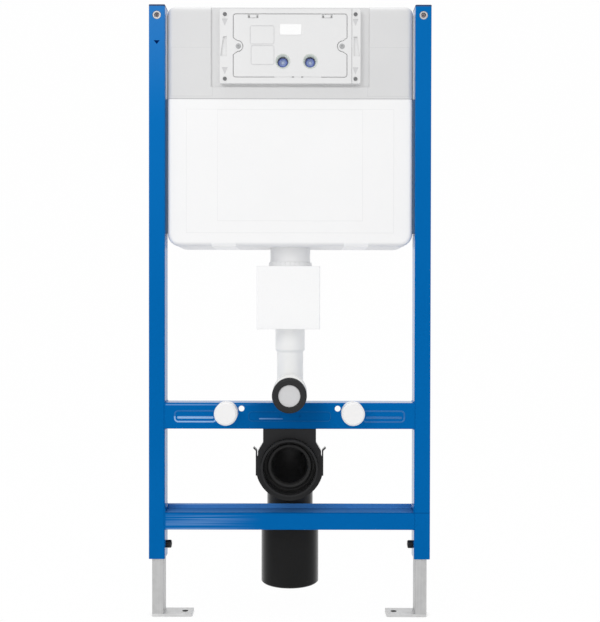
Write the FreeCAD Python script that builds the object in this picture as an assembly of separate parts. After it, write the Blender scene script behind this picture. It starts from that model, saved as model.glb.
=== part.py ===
import FreeCAD, Part
import math
import os

# Wall hung toilet frame: two steel posts and two rails carry a concealed cistern, its flush pipe
# and the waste bend. Lengths are millimetres. X runs left to right as seen from the front,
# Y runs from the front to the wall, Z runs up from the floor. The wall is the plane Y = 0.

# Steel frame
FRAME_WIDTH = 516.0
FRAME_HEIGHT = 1121.0
POST_WIDTH = 29.5
POST_DEPTH = 40.0
POST_WALL = 2.0
POST_CORNER = 3.0
POST_FOOT_HEIGHT = 107.5
POST_FRONT_TO_WALL = 165.0
CAP_THICKNESS = 3.0
CAP_ABOVE_TIE = 2.0
CAP_CLEARANCE = 0.3
RAIL_DEPTH = 40.0
RAIL_WALL = 2.0
RAIL_LIP = 9.0
RAIL_BEND = 3.0
PAN_RAIL_BELOW_OUTLET = 65.0
PAN_RAIL_HEIGHT = 48.0
PAN_RAIL_PRESSING_LENGTH = 150.0
PAN_RAIL_PRESSING_HEIGHT = 17.0
PAN_RAIL_PRESSING_BOTTOM = 14.5
PAN_RAIL_PRESSING_DEPTH = 1.0
LOWER_RAIL_BOTTOM = 161.0
LOWER_RAIL_HEIGHT = 32.0
LOWER_RAIL_UPSTAND = 8.5

# Telescopic legs
LEG_WIDTH = 21.8
LEG_DEPTH = 31.0
LEG_WALL = 2.0
LEG_CORNER = 2.5
LEG_INSERTED_LENGTH = 250.0
LEG_CLEARANCE = 0.3
BUSH_HEIGHT = 60.0
BUSH_CLEARANCE = 0.2
FOOT_LENGTH = 73.5
FOOT_DEPTH = 36.0
FOOT_THICKNESS = 5.0
FOOT_CORNER = 2.0
FOOT_HOLE_RADIUS = 5.5
FOOT_HOLE_FROM_END = 14.5
CLAMP_HEIGHT = 130.5
CLAMP_HEAD_RADIUS = 7.0
CLAMP_HEAD_LENGTH = 10.0
CLAMP_HEAD_CHAMFER = 1.0
CLAMP_SOCKET_RADIUS = 3.5
CLAMP_SOCKET_DEPTH = 5.0
CLAMP_SHANK_RADIUS = 4.0
CLAMP_HOLE_CLEARANCE = 0.3

# Wall ties
TIE_BELOW_TOP = 19.0
TIE_SLEEVE_RADIUS = 7.5
TIE_HOLE_CLEARANCE = 0.3
TIE_SOCKET_RADIUS = 4.8
TIE_SOCKET_DEPTH = 14.0
TIE_SET_BACK = 0.5
TIE_COLLAR_RADIUS = 11.0
TIE_COLLAR_LENGTH = 7.0
TIE_ROD_RADIUS = 5.0
WALL_PLATE_WIDTH = 40.0
WALL_PLATE_HEIGHT = 84.0
WALL_PLATE_THICKNESS = 4.0
WALL_PLATE_CORNER = 5.0
WALL_PLATE_HOLE_SPACING = 56.0
WALL_PLATE_HOLE_RADIUS = 4.5

# Cistern
CISTERN_BOTTOM = 681.0
CISTERN_SET_BACK = 7.0
CISTERN_DEPTH = 128.0
COVER_SIDE_GAP = 2.5
COVER_HEIGHT = 171.5
COVER_CORNER = 16.0
COVER_EDGE = 12.0
COVER_WALL = 6.0
COVER_RECESS_WIDTH = 290.0
COVER_RECESS_DEPTH = 3.0
COVER_RECESS_ABOVE_SEAM = 22.0
COVER_RECESS_TOP = 3.0
BODY_SIDE_GAP = 3.5
BODY_HEIGHT = 269.5
BODY_CORNER = 24.0
BODY_EDGE = 8.0
BODY_WALL = 4.0
BODY_FOOT_WIDTH = 44.0
BODY_FOOT_SPACING = 243.0
BODY_FOOT_HEIGHT = 12.0
BODY_FOOT_DEPTH = 3.0
LUG_LENGTH = 50.0
LUG_REACH = 12.0
LUG_HEIGHT = 12.0
LUG_FROM_POST = 20.0
STRAP_BELOW_SEAM = 52.0
STRAP_HEIGHT = 40.0
STRAP_THICKNESS = 2.5
STRAP_CLEARANCE = 0.3
STRAP_BEND = 4.0

# Service opening and flush actuators
SERVICE_FRAME_WIDTH = 257.0
SERVICE_FRAME_HEIGHT = 135.5
SERVICE_FRAME_PROUD = 7.0
SERVICE_FRAME_CORNER = 3.0
SERVICE_BELOW_TOP = 6.0
SERVICE_OPENING_SIDE_GAP = 28.0
SERVICE_OPENING_GAP = 2.0
SERVICE_OPENING_CORNER = 4.0
SERVICE_SLOT_HEIGHT = 35.0
SERVICE_SLOT_WIDTH = 11.0
SERVICE_SLOT_NARROW = 6.0
SERVICE_SLOT_DEPTH = 3.0
SERVICE_SLOT_FROM_SIDE = 1.5
SERVICE_COVER_WIDTH = 206.0
SERVICE_COVER_HEIGHT = 113.5
SERVICE_COVER_THICKNESS = 3.0
SERVICE_COVER_CORNER = 4.0
SERVICE_COVER_GAP = 1.3
SERVICE_COVER_RAISE = 1.2
SERVICE_GROOVE_FROM_MIDDLE = 112.5
SERVICE_GROOVE_WIDTH = 1.2
SERVICE_GROOVE_DEPTH = 1.0
BAY_RADIUS = 10.5
BAY_REACH = 7.0
BAY_MOUTH = 34.0
CLIP_NOTCH_WIDTH = 19.0
CLIP_NOTCH_HEIGHT = 7.0
CLIP_NOTCH_SPACING = 135.0
ACTUATOR_SPACING = 50.0
ACTUATOR_OFFSET = 11.5
ACTUATOR_BELOW_MIDDLE = 27.5
ACTUATOR_RADIUS = 8.6
ACTUATOR_LENGTH = 34.0
ACTUATOR_SET_BACK = 12.0
ACTUATOR_CLEARANCE = 0.4
ACTUATOR_SOCKET_RADIUS = 3.6
ACTUATOR_SOCKET_DEPTH = 8.0
WELL_RADIUS = 12.8
WELL_WALL = 2.0
WELL_DEPTH = 24.0
WELL_FLOOR = 3.0

# Flush pipe
FLUSH_AXIS_BEHIND_RAIL = 39.0
FLUSH_OUTLET_HEIGHT = 411.5
NECK_RADIUS = 38.0
NECK_FLANGE_RADIUS = 40.5
NECK_FLANGE_HEIGHT = 8.0
NECK_LENGTH = 35.0
PIPE_RADIUS = 25.0
PIPE_WALL = 3.0
PIPE_SOCKET_RADIUS = 28.0
PIPE_BARREL_LENGTH = 45.5
PIPE_TAPER = 4.0
PIPE_FIT = 0.3
FLUSH_BEND_RADIUS = 27.0
OUTLET_RADIUS = 22.5
OUTLET_REACH = 40.0
COLLAR_RADIUS = 31.5
COLLAR_LENGTH = 10.0
COLLAR_CLEARANCE = 0.5
BLOCK_WIDTH = 118.0
BLOCK_DEPTH = 100.0
BLOCK_HEIGHT = 117.5
BLOCK_CORNER = 2.0
BLOCK_OFFSET = -3.0
SEAL_RADIUS = 30.6
SEAL_LENGTH = 34.0
SEAL_FROM_RAIL = 14.0
SEAL_FLANGE_LENGTH = 5.0
SEAL_WAIST_RADIUS = 27.5
SEAL_WAIST_LENGTH = 6.0
SEAL_CHAMFER = 2.5
PLUG_RADIUS = 19.8
PLUG_SET_BACK = 2.0
PLUG_WALL = 2.5

# Pan studs
STUD_SPACING = 230.0
STUD_BELOW_OUTLET = 34.5
STUD_RADIUS = 6.0
STUD_BEHIND_RAIL = 30.0
STUD_HOLE_CLEARANCE = 0.4
STUD_NUT_RADIUS = 11.0
STUD_NUT_HEIGHT = 10.0
STUD_REACH = 24.0
STUD_CAP_RADIUS = 21.0
STUD_CAP_LENGTH = 30.0
STUD_CAP_EDGE = 3.0
SPARE_HOLE_SPACING = 176.0
SPARE_HOLE_BELOW_OUTLET = 27.5
SPARE_HOLE_RADIUS = 5.3

# Waste bend and pipe
WASTE_BELOW_FLUSH = 135.0
WASTE_PIPE_BEHIND_RAIL = 2.0
WASTE_RADIUS = 44.0
WASTE_WALL = 3.0
WASTE_BEND_RADIUS = 62.0
WASTE_SOCKET_RADIUS = 52.0
WASTE_SOCKET_LENGTH = 48.0
WASTE_SOCKET_WALL = 3.5
WASTE_MOUTH_PROUD = 15.0
WASTE_SEAL_LENGTH = 24.0
WASTE_SEAL_SET_BACK = 6.0
WASTE_LIP_PROUD = 4.0
WASTE_LIP_RADIUS = 39.5
WASTE_SEAL_BORE = 35.0
WASTE_SEAL_FIT = 0.3
WASTE_PIPE_RADIUS = 55.0
WASTE_PIPE_WALL = 3.2
WASTE_PIPE_TOP = 173.0
WASTE_PIPE_BOTTOM = 40.0
WASTE_PIPE_CHAMFER = 2.0
WASTE_GROOVE_BELOW_RAIL = 6.0
WASTE_GROOVE_WIDTH = 4.0
WASTE_GROOVE_DEPTH = 1.0
ADAPTER_RIM = 20.0
BRACKET_RING_RADIUS = 62.0
BRACKET_RING_LENGTH = 22.0
BRACKET_SET_BACK = 3.0
BRACKET_NECK_WIDTH = 97.0
BRACKET_NECK_LENGTH = 25.0
BRACKET_SHOULDER_WIDTH = 116.0
BRACKET_SHOULDER_HEIGHT = 29.0
BRACKET_CLEARANCE = 0.3
CLIP_THICKNESS = 2.5
CLIP_BELOW_AXIS = 16.0
CLIP_ABOVE_AXIS = 29.5
CLIP_TIP = 5.0
CLIP_LENGTH = 14.0
CLIP_BEND = 1.5

# Where the pieces stand
HALF_WIDTH = FRAME_WIDTH / 2
POST_INNER = HALF_WIDTH - POST_WIDTH
POST_MIDDLE = HALF_WIDTH - POST_WIDTH / 2
FRONT = -POST_FRONT_TO_WALL
POST_BACK = FRONT + POST_DEPTH
POST_MIDDLE_Y = FRONT + POST_DEPTH / 2
RAIL_BACK = FRONT + RAIL_DEPTH
TIE_HEIGHT = FRAME_HEIGHT - TIE_BELOW_TOP
CISTERN_SEAM = CISTERN_BOTTOM + BODY_HEIGHT
CISTERN_TOP = CISTERN_SEAM + COVER_HEIGHT
CISTERN_FRONT = FRONT + CISTERN_SET_BACK
CISTERN_BACK = CISTERN_FRONT + CISTERN_DEPTH
FLUSH_AXIS = RAIL_BACK + FLUSH_AXIS_BEHIND_RAIL
WASTE_AXIS = RAIL_BACK + WASTE_PIPE_BEHIND_RAIL + WASTE_PIPE_RADIUS
WASTE_HEIGHT = FLUSH_OUTLET_HEIGHT - WASTE_BELOW_FLUSH
PAN_RAIL_BOTTOM = FLUSH_OUTLET_HEIGHT - PAN_RAIL_BELOW_OUTLET
STUD_HEIGHT = FLUSH_OUTLET_HEIGHT - STUD_BELOW_OUTLET
SPARE_HOLE_HEIGHT = FLUSH_OUTLET_HEIGHT - SPARE_HOLE_BELOW_OUTLET
ORIGIN = FreeCAD.Vector(-POST_MIDDLE, 0, TIE_HEIGHT)

ALONG_X = FreeCAD.Vector(1, 0, 0)
ALONG_Y = FreeCAD.Vector(0, 1, 0)
ALONG_Z = FreeCAD.Vector(0, 0, 1)
TO_FRONT = FreeCAD.Vector(0, -1, 0)
ANGLE_SLACK = 0.001
CUT_OVER = 1.0
HEXAGON_SIDES = 6


def block(x_span, y_span, z_span):
    """Rectangular block between pairs of coordinates."""
    corner = FreeCAD.Vector(x_span[0], y_span[0], z_span[0])
    return Part.makeBox(x_span[1] - x_span[0], y_span[1] - y_span[0], z_span[1] - z_span[0], corner)


def around(middle, length):
    """Span of a length about a middle."""
    return (middle - length / 2, middle + length / 2)


def widened(span, margin):
    """Span with a margin added at both ends."""
    return (span[0] - margin, span[1] + margin)


def edges_along(shape, axis):
    """Straight edges that run along an axis."""
    found = []
    for edge in shape.Edges:
        if edge.Curve.TypeId != "Part::GeomLine":
            continue
        if 1 - abs(edge.tangentAt(edge.FirstParameter).dot(axis)) < ANGLE_SLACK:
            found.append(edge)
    return found


def rounded_block(x_span, y_span, z_span, axis, corner):
    """Block whose four edges along an axis are rounded."""
    shape = block(x_span, y_span, z_span)
    return shape.makeFillet(corner, edges_along(shape, axis))


def cylinder(radius, start, axis, length):
    """Round bar from a start point along an axis."""
    return Part.makeCylinder(radius, length, start, axis)


def turned(profile, start, axis):
    """Solid turned from a closed outline of (radius, distance along the axis) points."""
    points = [FreeCAD.Vector(radius, 0, along) for radius, along in profile]
    outline = Part.Face(Part.makePolygon(points + points[:1]))
    shape = outline.revolve(FreeCAD.Vector(0, 0, 0), ALONG_Z, 360)
    shape.Placement = FreeCAD.Placement(start, FreeCAD.Rotation(ALONG_Z, axis))
    return shape


def extruded(points, travel):
    """Prism of a closed outline of points."""
    outline = Part.Face(Part.makePolygon(points + points[:1]))
    return outline.extrude(travel)


def rounded_path(corners, bend_radius):
    """Line through corner points, with every inner corner turned into an arc."""
    edges = []
    previous = corners[0]
    for corner, following in zip(corners[1:-1], corners[2:]):
        arrive = (corner - previous).normalize()
        leave = (following - corner).normalize()
        half_turn = arrive.getAngle(leave) / 2
        setback = bend_radius * math.tan(half_turn)
        bend_start = corner - arrive * setback
        bend_end = corner + leave * setback
        inward = (leave - arrive).normalize()
        bend_middle = corner + inward * (bend_radius / math.cos(half_turn) - bend_radius)
        edges.append(Part.makeLine(previous, bend_start))
        edges.append(Part.Arc(bend_start, bend_middle, bend_end).toShape())
        previous = bend_end
    edges.append(Part.makeLine(previous, corners[-1]))
    return Part.Wire(edges)


def bent_bar(radius, corners, bend_radius):
    """Round bar along a line of corner points with round bends."""
    section = Part.Wire(Part.makeCircle(radius, corners[0], corners[1] - corners[0]))
    return rounded_path(corners, bend_radius).makePipeShell([section], True, False)


def folded_sheet(corners, bend_radius, thickness, side, travel):
    """Sheet folded along corner points, its first leg thickened to one side, swept along a travel."""
    path = rounded_path(corners, bend_radius)
    first_leg_middle = (corners[0] + path.Edges[0].lastVertex().Point) * 0.5
    sheet = path.makeOffset2D(thickness, 0, True, True, False)
    if not sheet.isInside(first_leg_middle + side * (thickness / 2), ANGLE_SLACK, True):
        sheet = path.makeOffset2D(-thickness, 0, True, True, False)
    return sheet.extrude(travel)


def hexagon_bar(radius, start, axis, length):
    """Hexagonal bar with a corner radius, from a start point along an axis."""
    points = []
    for step in range(HEXAGON_SIDES):
        angle = math.tau * step / HEXAGON_SIDES
        points.append(FreeCAD.Vector(radius * math.cos(angle), radius * math.sin(angle), 0))
    shape = extruded(points, ALONG_Z * length)
    shape.Placement = FreeCAD.Placement(start, FreeCAD.Rotation(ALONG_Z, axis))
    return shape


def mirrored(shape):
    """The same piece on the other side of the middle plane."""
    return shape.mirror(FreeCAD.Vector(0, 0, 0), ALONG_X)


pieces = {}


def add_pair(name, right_shape):
    """Keep a piece made for the right side, and its mirror image for the left."""
    pieces["right_" + name] = right_shape
    pieces["left_" + name] = mirrored(right_shape)


# Posts: rectangular tubes, open below for the legs, with a hole near the top for the wall tie
post_top = FRAME_HEIGHT - CAP_THICKNESS
post_x = (POST_INNER, HALF_WIDTH)
post_y = (FRONT, POST_BACK)
inside_x = widened(post_x, -POST_WALL)
inside_y = widened(post_y, -POST_WALL)
post_z = (POST_FOOT_HEIGHT, post_top)
inside_corner = POST_CORNER - POST_WALL
post = rounded_block(post_x, post_y, post_z, ALONG_Z, POST_CORNER)
post = post.cut(rounded_block(inside_x, inside_y, post_z, ALONG_Z, inside_corner))
tie_start = FreeCAD.Vector(POST_MIDDLE, FRONT - CUT_OVER, TIE_HEIGHT)
tie_hole_radius = TIE_SLEEVE_RADIUS + TIE_HOLE_CLEARANCE
post = post.cut(cylinder(tie_hole_radius, tie_start, ALONG_Y, POST_DEPTH + 2 * CUT_OVER))
clamp_start = FreeCAD.Vector(POST_INNER - CUT_OVER, POST_MIDDLE_Y, CLAMP_HEIGHT)
clamp_hole_radius = CLAMP_SHANK_RADIUS + CLAMP_HOLE_CLEARANCE
post = post.cut(cylinder(clamp_hole_radius, clamp_start, ALONG_X, POST_WALL + 2 * CUT_OVER))
add_pair("post", post)

# Post caps: plastic lids with a plug that sits inside the tube
cap_z = (post_top, FRAME_HEIGHT)
post_cap = rounded_block(post_x, post_y, cap_z, ALONG_Z, POST_CORNER)
plug_x = widened(inside_x, -CAP_CLEARANCE)
plug_y = widened(inside_y, -CAP_CLEARANCE)
plug_z = (TIE_HEIGHT + tie_hole_radius + CAP_ABOVE_TIE, post_top)
post_cap = post_cap.fuse(rounded_block(plug_x, plug_y, plug_z, ALONG_Z, inside_corner))
add_pair("post_cap", post_cap.removeSplitter())

# Wall ties: a sleeve through the post, a collar behind it and a threaded rod to the wall plate
sleeve_front = FRONT + TIE_SET_BACK
collar_start = POST_BACK - sleeve_front
collar_end = collar_start + TIE_COLLAR_LENGTH
rod_end = -WALL_PLATE_THICKNESS - sleeve_front
wall_tie = turned(
    [
        (0, TIE_SOCKET_DEPTH),
        (TIE_SOCKET_RADIUS, TIE_SOCKET_DEPTH),
        (TIE_SOCKET_RADIUS, 0),
        (TIE_SLEEVE_RADIUS, 0),
        (TIE_SLEEVE_RADIUS, collar_start),
        (TIE_COLLAR_RADIUS, collar_start),
        (TIE_COLLAR_RADIUS, collar_end),
        (TIE_ROD_RADIUS, collar_end),
        (TIE_ROD_RADIUS, rod_end),
        (0, rod_end),
    ],
    FreeCAD.Vector(POST_MIDDLE, sleeve_front, TIE_HEIGHT),
    ALONG_Y,
)
add_pair("wall_tie", wall_tie)

# Wall plates: flat plates against the wall with two screw holes
wall_plate = rounded_block(
    around(POST_MIDDLE, WALL_PLATE_WIDTH),
    (-WALL_PLATE_THICKNESS, 0),
    around(TIE_HEIGHT, WALL_PLATE_HEIGHT),
    ALONG_Y,
    WALL_PLATE_CORNER,
)
for hole_z in around(TIE_HEIGHT, WALL_PLATE_HOLE_SPACING):
    hole_start = FreeCAD.Vector(POST_MIDDLE, -WALL_PLATE_THICKNESS - CUT_OVER, hole_z)
    hole_length = WALL_PLATE_THICKNESS + 2 * CUT_OVER
    wall_plate = wall_plate.cut(cylinder(WALL_PLATE_HOLE_RADIUS, hole_start, ALONG_Y, hole_length))
add_pair("wall_plate", wall_plate)

# Legs: smaller tubes that slide in the posts, close to the inner wall
leg_x = (inside_x[0] + LEG_CLEARANCE, inside_x[0] + LEG_CLEARANCE + LEG_WIDTH)
leg_y = around(POST_MIDDLE_Y, LEG_DEPTH)
leg_z = (FOOT_THICKNESS, POST_FOOT_HEIGHT + LEG_INSERTED_LENGTH)
leg = rounded_block(leg_x, leg_y, leg_z, ALONG_Z, LEG_CORNER)
leg_hollow = rounded_block(
    widened(leg_x, -LEG_WALL), widened(leg_y, -LEG_WALL), leg_z, ALONG_Z, LEG_CORNER - LEG_WALL
)
add_pair("leg", leg.cut(leg_hollow))

# Leg bushes: plastic channels pressed into the post that guide the leg on three sides
bush_x = (leg_x[0] + LEG_WIDTH / 2, inside_x[1] - BUSH_CLEARANCE)
bush_y = widened(inside_y, -BUSH_CLEARANCE)
bush_z = (POST_FOOT_HEIGHT, POST_FOOT_HEIGHT + BUSH_HEIGHT)
bush_hollow_x = (leg_x[0] - LEG_WIDTH, leg_x[1] + LEG_CLEARANCE)
bush_hollow_y = widened(leg_y, LEG_CLEARANCE)
leg_bush = rounded_block(bush_x, bush_y, bush_z, ALONG_Z, POST_CORNER - POST_WALL)
leg_bush = leg_bush.cut(rounded_block(bush_hollow_x, bush_hollow_y, bush_z, ALONG_Z, LEG_CORNER))
add_pair("leg_bush", leg_bush)

# Feet: flat plates under the legs with a hole for the floor screw
foot_x = (leg_x[1] - FOOT_LENGTH, leg_x[1])
foot_y = (leg_y[0], leg_y[0] + FOOT_DEPTH)
foot = rounded_block(foot_x, foot_y, (0, FOOT_THICKNESS), ALONG_Z, FOOT_CORNER)
foot_middle_y = sum(foot_y) / 2
hole_start = FreeCAD.Vector(foot_x[0] + FOOT_HOLE_FROM_END, foot_middle_y, -CUT_OVER)
foot_hole = cylinder(FOOT_HOLE_RADIUS, hole_start, ALONG_Z, FOOT_THICKNESS + 2 * CUT_OVER)
add_pair("foot", foot.cut(foot_hole))

# Clamp bolts: black socket screws through the inner wall of each post that hold the leg
clamp_bolt = turned(
    [
        (0, CLAMP_SOCKET_DEPTH - CLAMP_HEAD_LENGTH),
        (CLAMP_SOCKET_RADIUS, CLAMP_SOCKET_DEPTH - CLAMP_HEAD_LENGTH),
        (CLAMP_SOCKET_RADIUS, -CLAMP_HEAD_LENGTH),
        (CLAMP_HEAD_RADIUS - CLAMP_HEAD_CHAMFER, -CLAMP_HEAD_LENGTH),
        (CLAMP_HEAD_RADIUS, CLAMP_HEAD_CHAMFER - CLAMP_HEAD_LENGTH),
        (CLAMP_HEAD_RADIUS, 0),
        (CLAMP_SHANK_RADIUS, 0),
        (CLAMP_SHANK_RADIUS, POST_WALL),
        (0, POST_WALL),
    ],
    FreeCAD.Vector(POST_INNER, POST_MIDDLE_Y, CLAMP_HEIGHT),
    ALONG_X,
)
add_pair("clamp_bolt", clamp_bolt)


def rail(outline):
    """Sheet steel rail from post to post, folded along an outline of (Y, Z) corners."""
    corners = [FreeCAD.Vector(-POST_INNER, y, z) for y, z in outline]
    return folded_sheet(corners, RAIL_BEND, RAIL_WALL, TO_FRONT, ALONG_X * (2 * POST_INNER))


# Pan rail: channel with a pressed middle, holes for the studs and a notch under the flush pipe
pan_rail_top = PAN_RAIL_BOTTOM + PAN_RAIL_HEIGHT
pan_rail = rail(
    [
        (RAIL_BACK, PAN_RAIL_BOTTOM + RAIL_LIP),
        (RAIL_BACK, PAN_RAIL_BOTTOM),
        (FRONT, PAN_RAIL_BOTTOM),
        (FRONT, pan_rail_top),
        (RAIL_BACK, pan_rail_top),
        (RAIL_BACK, pan_rail_top - RAIL_LIP),
    ]
)
pressing_bottom = PAN_RAIL_BOTTOM + PAN_RAIL_PRESSING_BOTTOM
pressing = rounded_block(
    around(0, PAN_RAIL_PRESSING_LENGTH),
    (FRONT - CUT_OVER, FRONT + PAN_RAIL_PRESSING_DEPTH),
    (pressing_bottom, pressing_bottom + PAN_RAIL_PRESSING_HEIGHT),
    ALONG_Y,
    PAN_RAIL_PRESSING_HEIGHT / 3,
)
pan_rail = pan_rail.cut(pressing)
hole_length = RAIL_WALL + 2 * CUT_OVER
for stud_x in around(0, STUD_SPACING):
    hole_start = FreeCAD.Vector(stud_x, FRONT - CUT_OVER, STUD_HEIGHT)
    stud_hole_radius = STUD_RADIUS + STUD_HOLE_CLEARANCE
    pan_rail = pan_rail.cut(cylinder(stud_hole_radius, hole_start, ALONG_Y, hole_length))
for spare_x in around(0, SPARE_HOLE_SPACING):
    hole_start = FreeCAD.Vector(spare_x, FRONT - CUT_OVER, SPARE_HOLE_HEIGHT)
    pan_rail = pan_rail.cut(cylinder(SPARE_HOLE_RADIUS, hole_start, ALONG_Y, hole_length))
notch_start = FreeCAD.Vector(0, FRONT - CUT_OVER, FLUSH_OUTLET_HEIGHT)
notch_length = RAIL_DEPTH + 2 * CUT_OVER
pan_rail = pan_rail.cut(cylinder(OUTLET_RADIUS + PIPE_FIT, notch_start, ALONG_Y, notch_length))
pieces["pan_rail"] = pan_rail

# Lower rail: channel with an upstand along its back edge
lower_rail_top = LOWER_RAIL_BOTTOM + LOWER_RAIL_HEIGHT
upstand_y = RAIL_BACK - RAIL_WALL
pieces["lower_rail"] = rail(
    [
        (RAIL_BACK, LOWER_RAIL_BOTTOM + RAIL_LIP),
        (RAIL_BACK, LOWER_RAIL_BOTTOM),
        (FRONT, LOWER_RAIL_BOTTOM),
        (FRONT, lower_rail_top),
        (upstand_y, lower_rail_top),
        (upstand_y, lower_rail_top + LOWER_RAIL_UPSTAND),
    ]
)


def tank_form(x_span, y_span, closed_z, open_z, corner, edge_radius):
    """Tank half with two rounded corners at its closed end and rounded edges round its faces."""
    form = block(x_span, y_span, sorted((closed_z, open_z)))
    closed_edges = []
    for edge in edges_along(form, ALONG_Y):
        if abs(edge.CenterOfMass.z - closed_z) < CUT_OVER:
            closed_edges.append(edge)
    form = form.makeFillet(corner, closed_edges)
    face_edges = []
    for edge in form.Edges:
        if edge.BoundBox.YLength < CUT_OVER and abs(edge.CenterOfMass.z - open_z) > CUT_OVER:
            face_edges.append(edge)
    return form.makeFillet(edge_radius, face_edges)


def tank_shell(x_span, closed_z, open_z, corner, edge_radius, wall):
    """Hollow tank half with an even wall, open at one end."""
    y_span = (CISTERN_FRONT, CISTERN_BACK)
    towards_open = math.copysign(1, open_z - closed_z)
    outer = tank_form(x_span, y_span, closed_z, open_z, corner, edge_radius)
    inner = tank_form(
        widened(x_span, -wall),
        widened(y_span, -wall),
        closed_z + wall * towards_open,
        open_z + CUT_OVER * towards_open,
        corner - wall,
        edge_radius - wall,
    )
    return outer.cut(inner)


# Cistern body: blow-moulded lower shell with an outlet hole and lugs that sit on the strap
body_half = POST_INNER - BODY_SIDE_GAP
body_x = (-body_half, body_half)
body = tank_shell(body_x, CISTERN_BOTTOM, CISTERN_SEAM, BODY_CORNER, BODY_EDGE, BODY_WALL)
for foot_middle in around(0, BODY_FOOT_SPACING):
    pad_y = (CISTERN_FRONT + BODY_FOOT_DEPTH, CISTERN_FRONT + BODY_EDGE + BODY_FOOT_DEPTH)
    pad_z = (CISTERN_BOTTOM, CISTERN_BOTTOM + BODY_FOOT_HEIGHT)
    body = body.fuse(block(around(foot_middle, BODY_FOOT_WIDTH), pad_y, pad_z))
pipe_bore_fit = PIPE_SOCKET_RADIUS + PIPE_FIT
outlet_start = FreeCAD.Vector(0, FLUSH_AXIS, CISTERN_BOTTOM - CUT_OVER)
body = body.cut(cylinder(pipe_bore_fit, outlet_start, ALONG_Z, BODY_WALL + 2 * CUT_OVER))
strap_top = CISTERN_SEAM - STRAP_BELOW_SEAM
lug_y = (POST_BACK + LUG_FROM_POST, POST_BACK + LUG_FROM_POST + LUG_LENGTH)
lug_x = (body_half - BODY_WALL / 2, body_half + LUG_REACH)
lug = block(lug_x, lug_y, (strap_top, strap_top + LUG_HEIGHT))
body = body.fuse(lug).fuse(mirrored(lug))
pieces["cistern_body"] = body

# Cistern strap: steel band fixed behind the posts that wraps the back of the cistern
strap_in = body_half + STRAP_CLEARANCE
strap_back_in = CISTERN_BACK + STRAP_CLEARANCE
strap_z = strap_top - STRAP_HEIGHT
strap = folded_sheet(
    [
        FreeCAD.Vector(-HALF_WIDTH, POST_BACK, strap_z),
        FreeCAD.Vector(-strap_in, POST_BACK, strap_z),
        FreeCAD.Vector(-strap_in, strap_back_in, strap_z),
        FreeCAD.Vector(strap_in, strap_back_in, strap_z),
        FreeCAD.Vector(strap_in, POST_BACK, strap_z),
        FreeCAD.Vector(HALF_WIDTH, POST_BACK, strap_z),
    ],
    STRAP_BEND,
    STRAP_THICKNESS,
    ALONG_Y,
    ALONG_Z * STRAP_HEIGHT,
)
pieces["cistern_strap"] = strap

# Cistern cover: insulating upper shell with a shallow recess round the service opening
cover_half = POST_INNER - COVER_SIDE_GAP
cover_x = (-cover_half, cover_half)
cover = tank_shell(cover_x, CISTERN_TOP, CISTERN_SEAM, COVER_CORNER, COVER_EDGE, COVER_WALL)
recess_x = around(0, COVER_RECESS_WIDTH)
recess_face = CISTERN_FRONT + COVER_RECESS_DEPTH
recess_y = (CISTERN_FRONT - CUT_OVER, recess_face)
recess_z = (CISTERN_SEAM + COVER_RECESS_ABOVE_SEAM, CISTERN_TOP + CUT_OVER)
cover = cover.cut(block(recess_x, recess_y, recess_z))
recess_top = CISTERN_TOP - COVER_RECESS_TOP
cover = cover.cut(block(recess_x, (CISTERN_FRONT, CISTERN_BACK), (recess_top, recess_z[1])))
service_top = recess_top - SERVICE_BELOW_TOP
service_middle = service_top - SERVICE_FRAME_HEIGHT / 2
frame_front = CISTERN_FRONT - SERVICE_FRAME_PROUD
well_outer = WELL_RADIUS + WELL_WALL
opening_half_width = ACTUATOR_OFFSET + ACTUATOR_SPACING / 2 + well_outer + SERVICE_OPENING_SIDE_GAP
opening_half_height = ACTUATOR_BELOW_MIDDLE + well_outer + SERVICE_OPENING_GAP
opening = rounded_block(
    (-opening_half_width, opening_half_width),
    (frame_front - CUT_OVER, CISTERN_FRONT + COVER_WALL + CUT_OVER),
    (service_middle - opening_half_height, service_middle + opening_half_height),
    ALONG_Y,
    SERVICE_OPENING_CORNER,
)
pieces["cistern_cover"] = cover.cut(opening)

def service_bay(margin):
    """Bay in the side of the service cover, made smaller by a margin all round."""
    radius = BAY_RADIUS - margin
    half_mouth = BAY_MOUTH / 2 - margin
    bay_middle = SERVICE_COVER_WIDTH / 2 - BAY_REACH
    bay_end = SERVICE_COVER_WIDTH / 2 + SERVICE_COVER_GAP + CUT_OVER
    bay_y = frame_front - CUT_OVER
    travel = ALONG_Y * (SERVICE_COVER_THICKNESS + 2 * CUT_OVER)
    rounded_end = cylinder(radius, FreeCAD.Vector(bay_middle, bay_y, service_middle), ALONG_Y, travel.Length)
    flare = extruded(
        [
            FreeCAD.Vector(bay_end, bay_y, service_middle - half_mouth),
            FreeCAD.Vector(bay_end, bay_y, service_middle + half_mouth),
            FreeCAD.Vector(bay_middle, bay_y, service_middle + radius),
            FreeCAD.Vector(bay_middle, bay_y, service_middle - radius),
        ],
        travel,
    )
    return rounded_end.fuse(flare)


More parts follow.
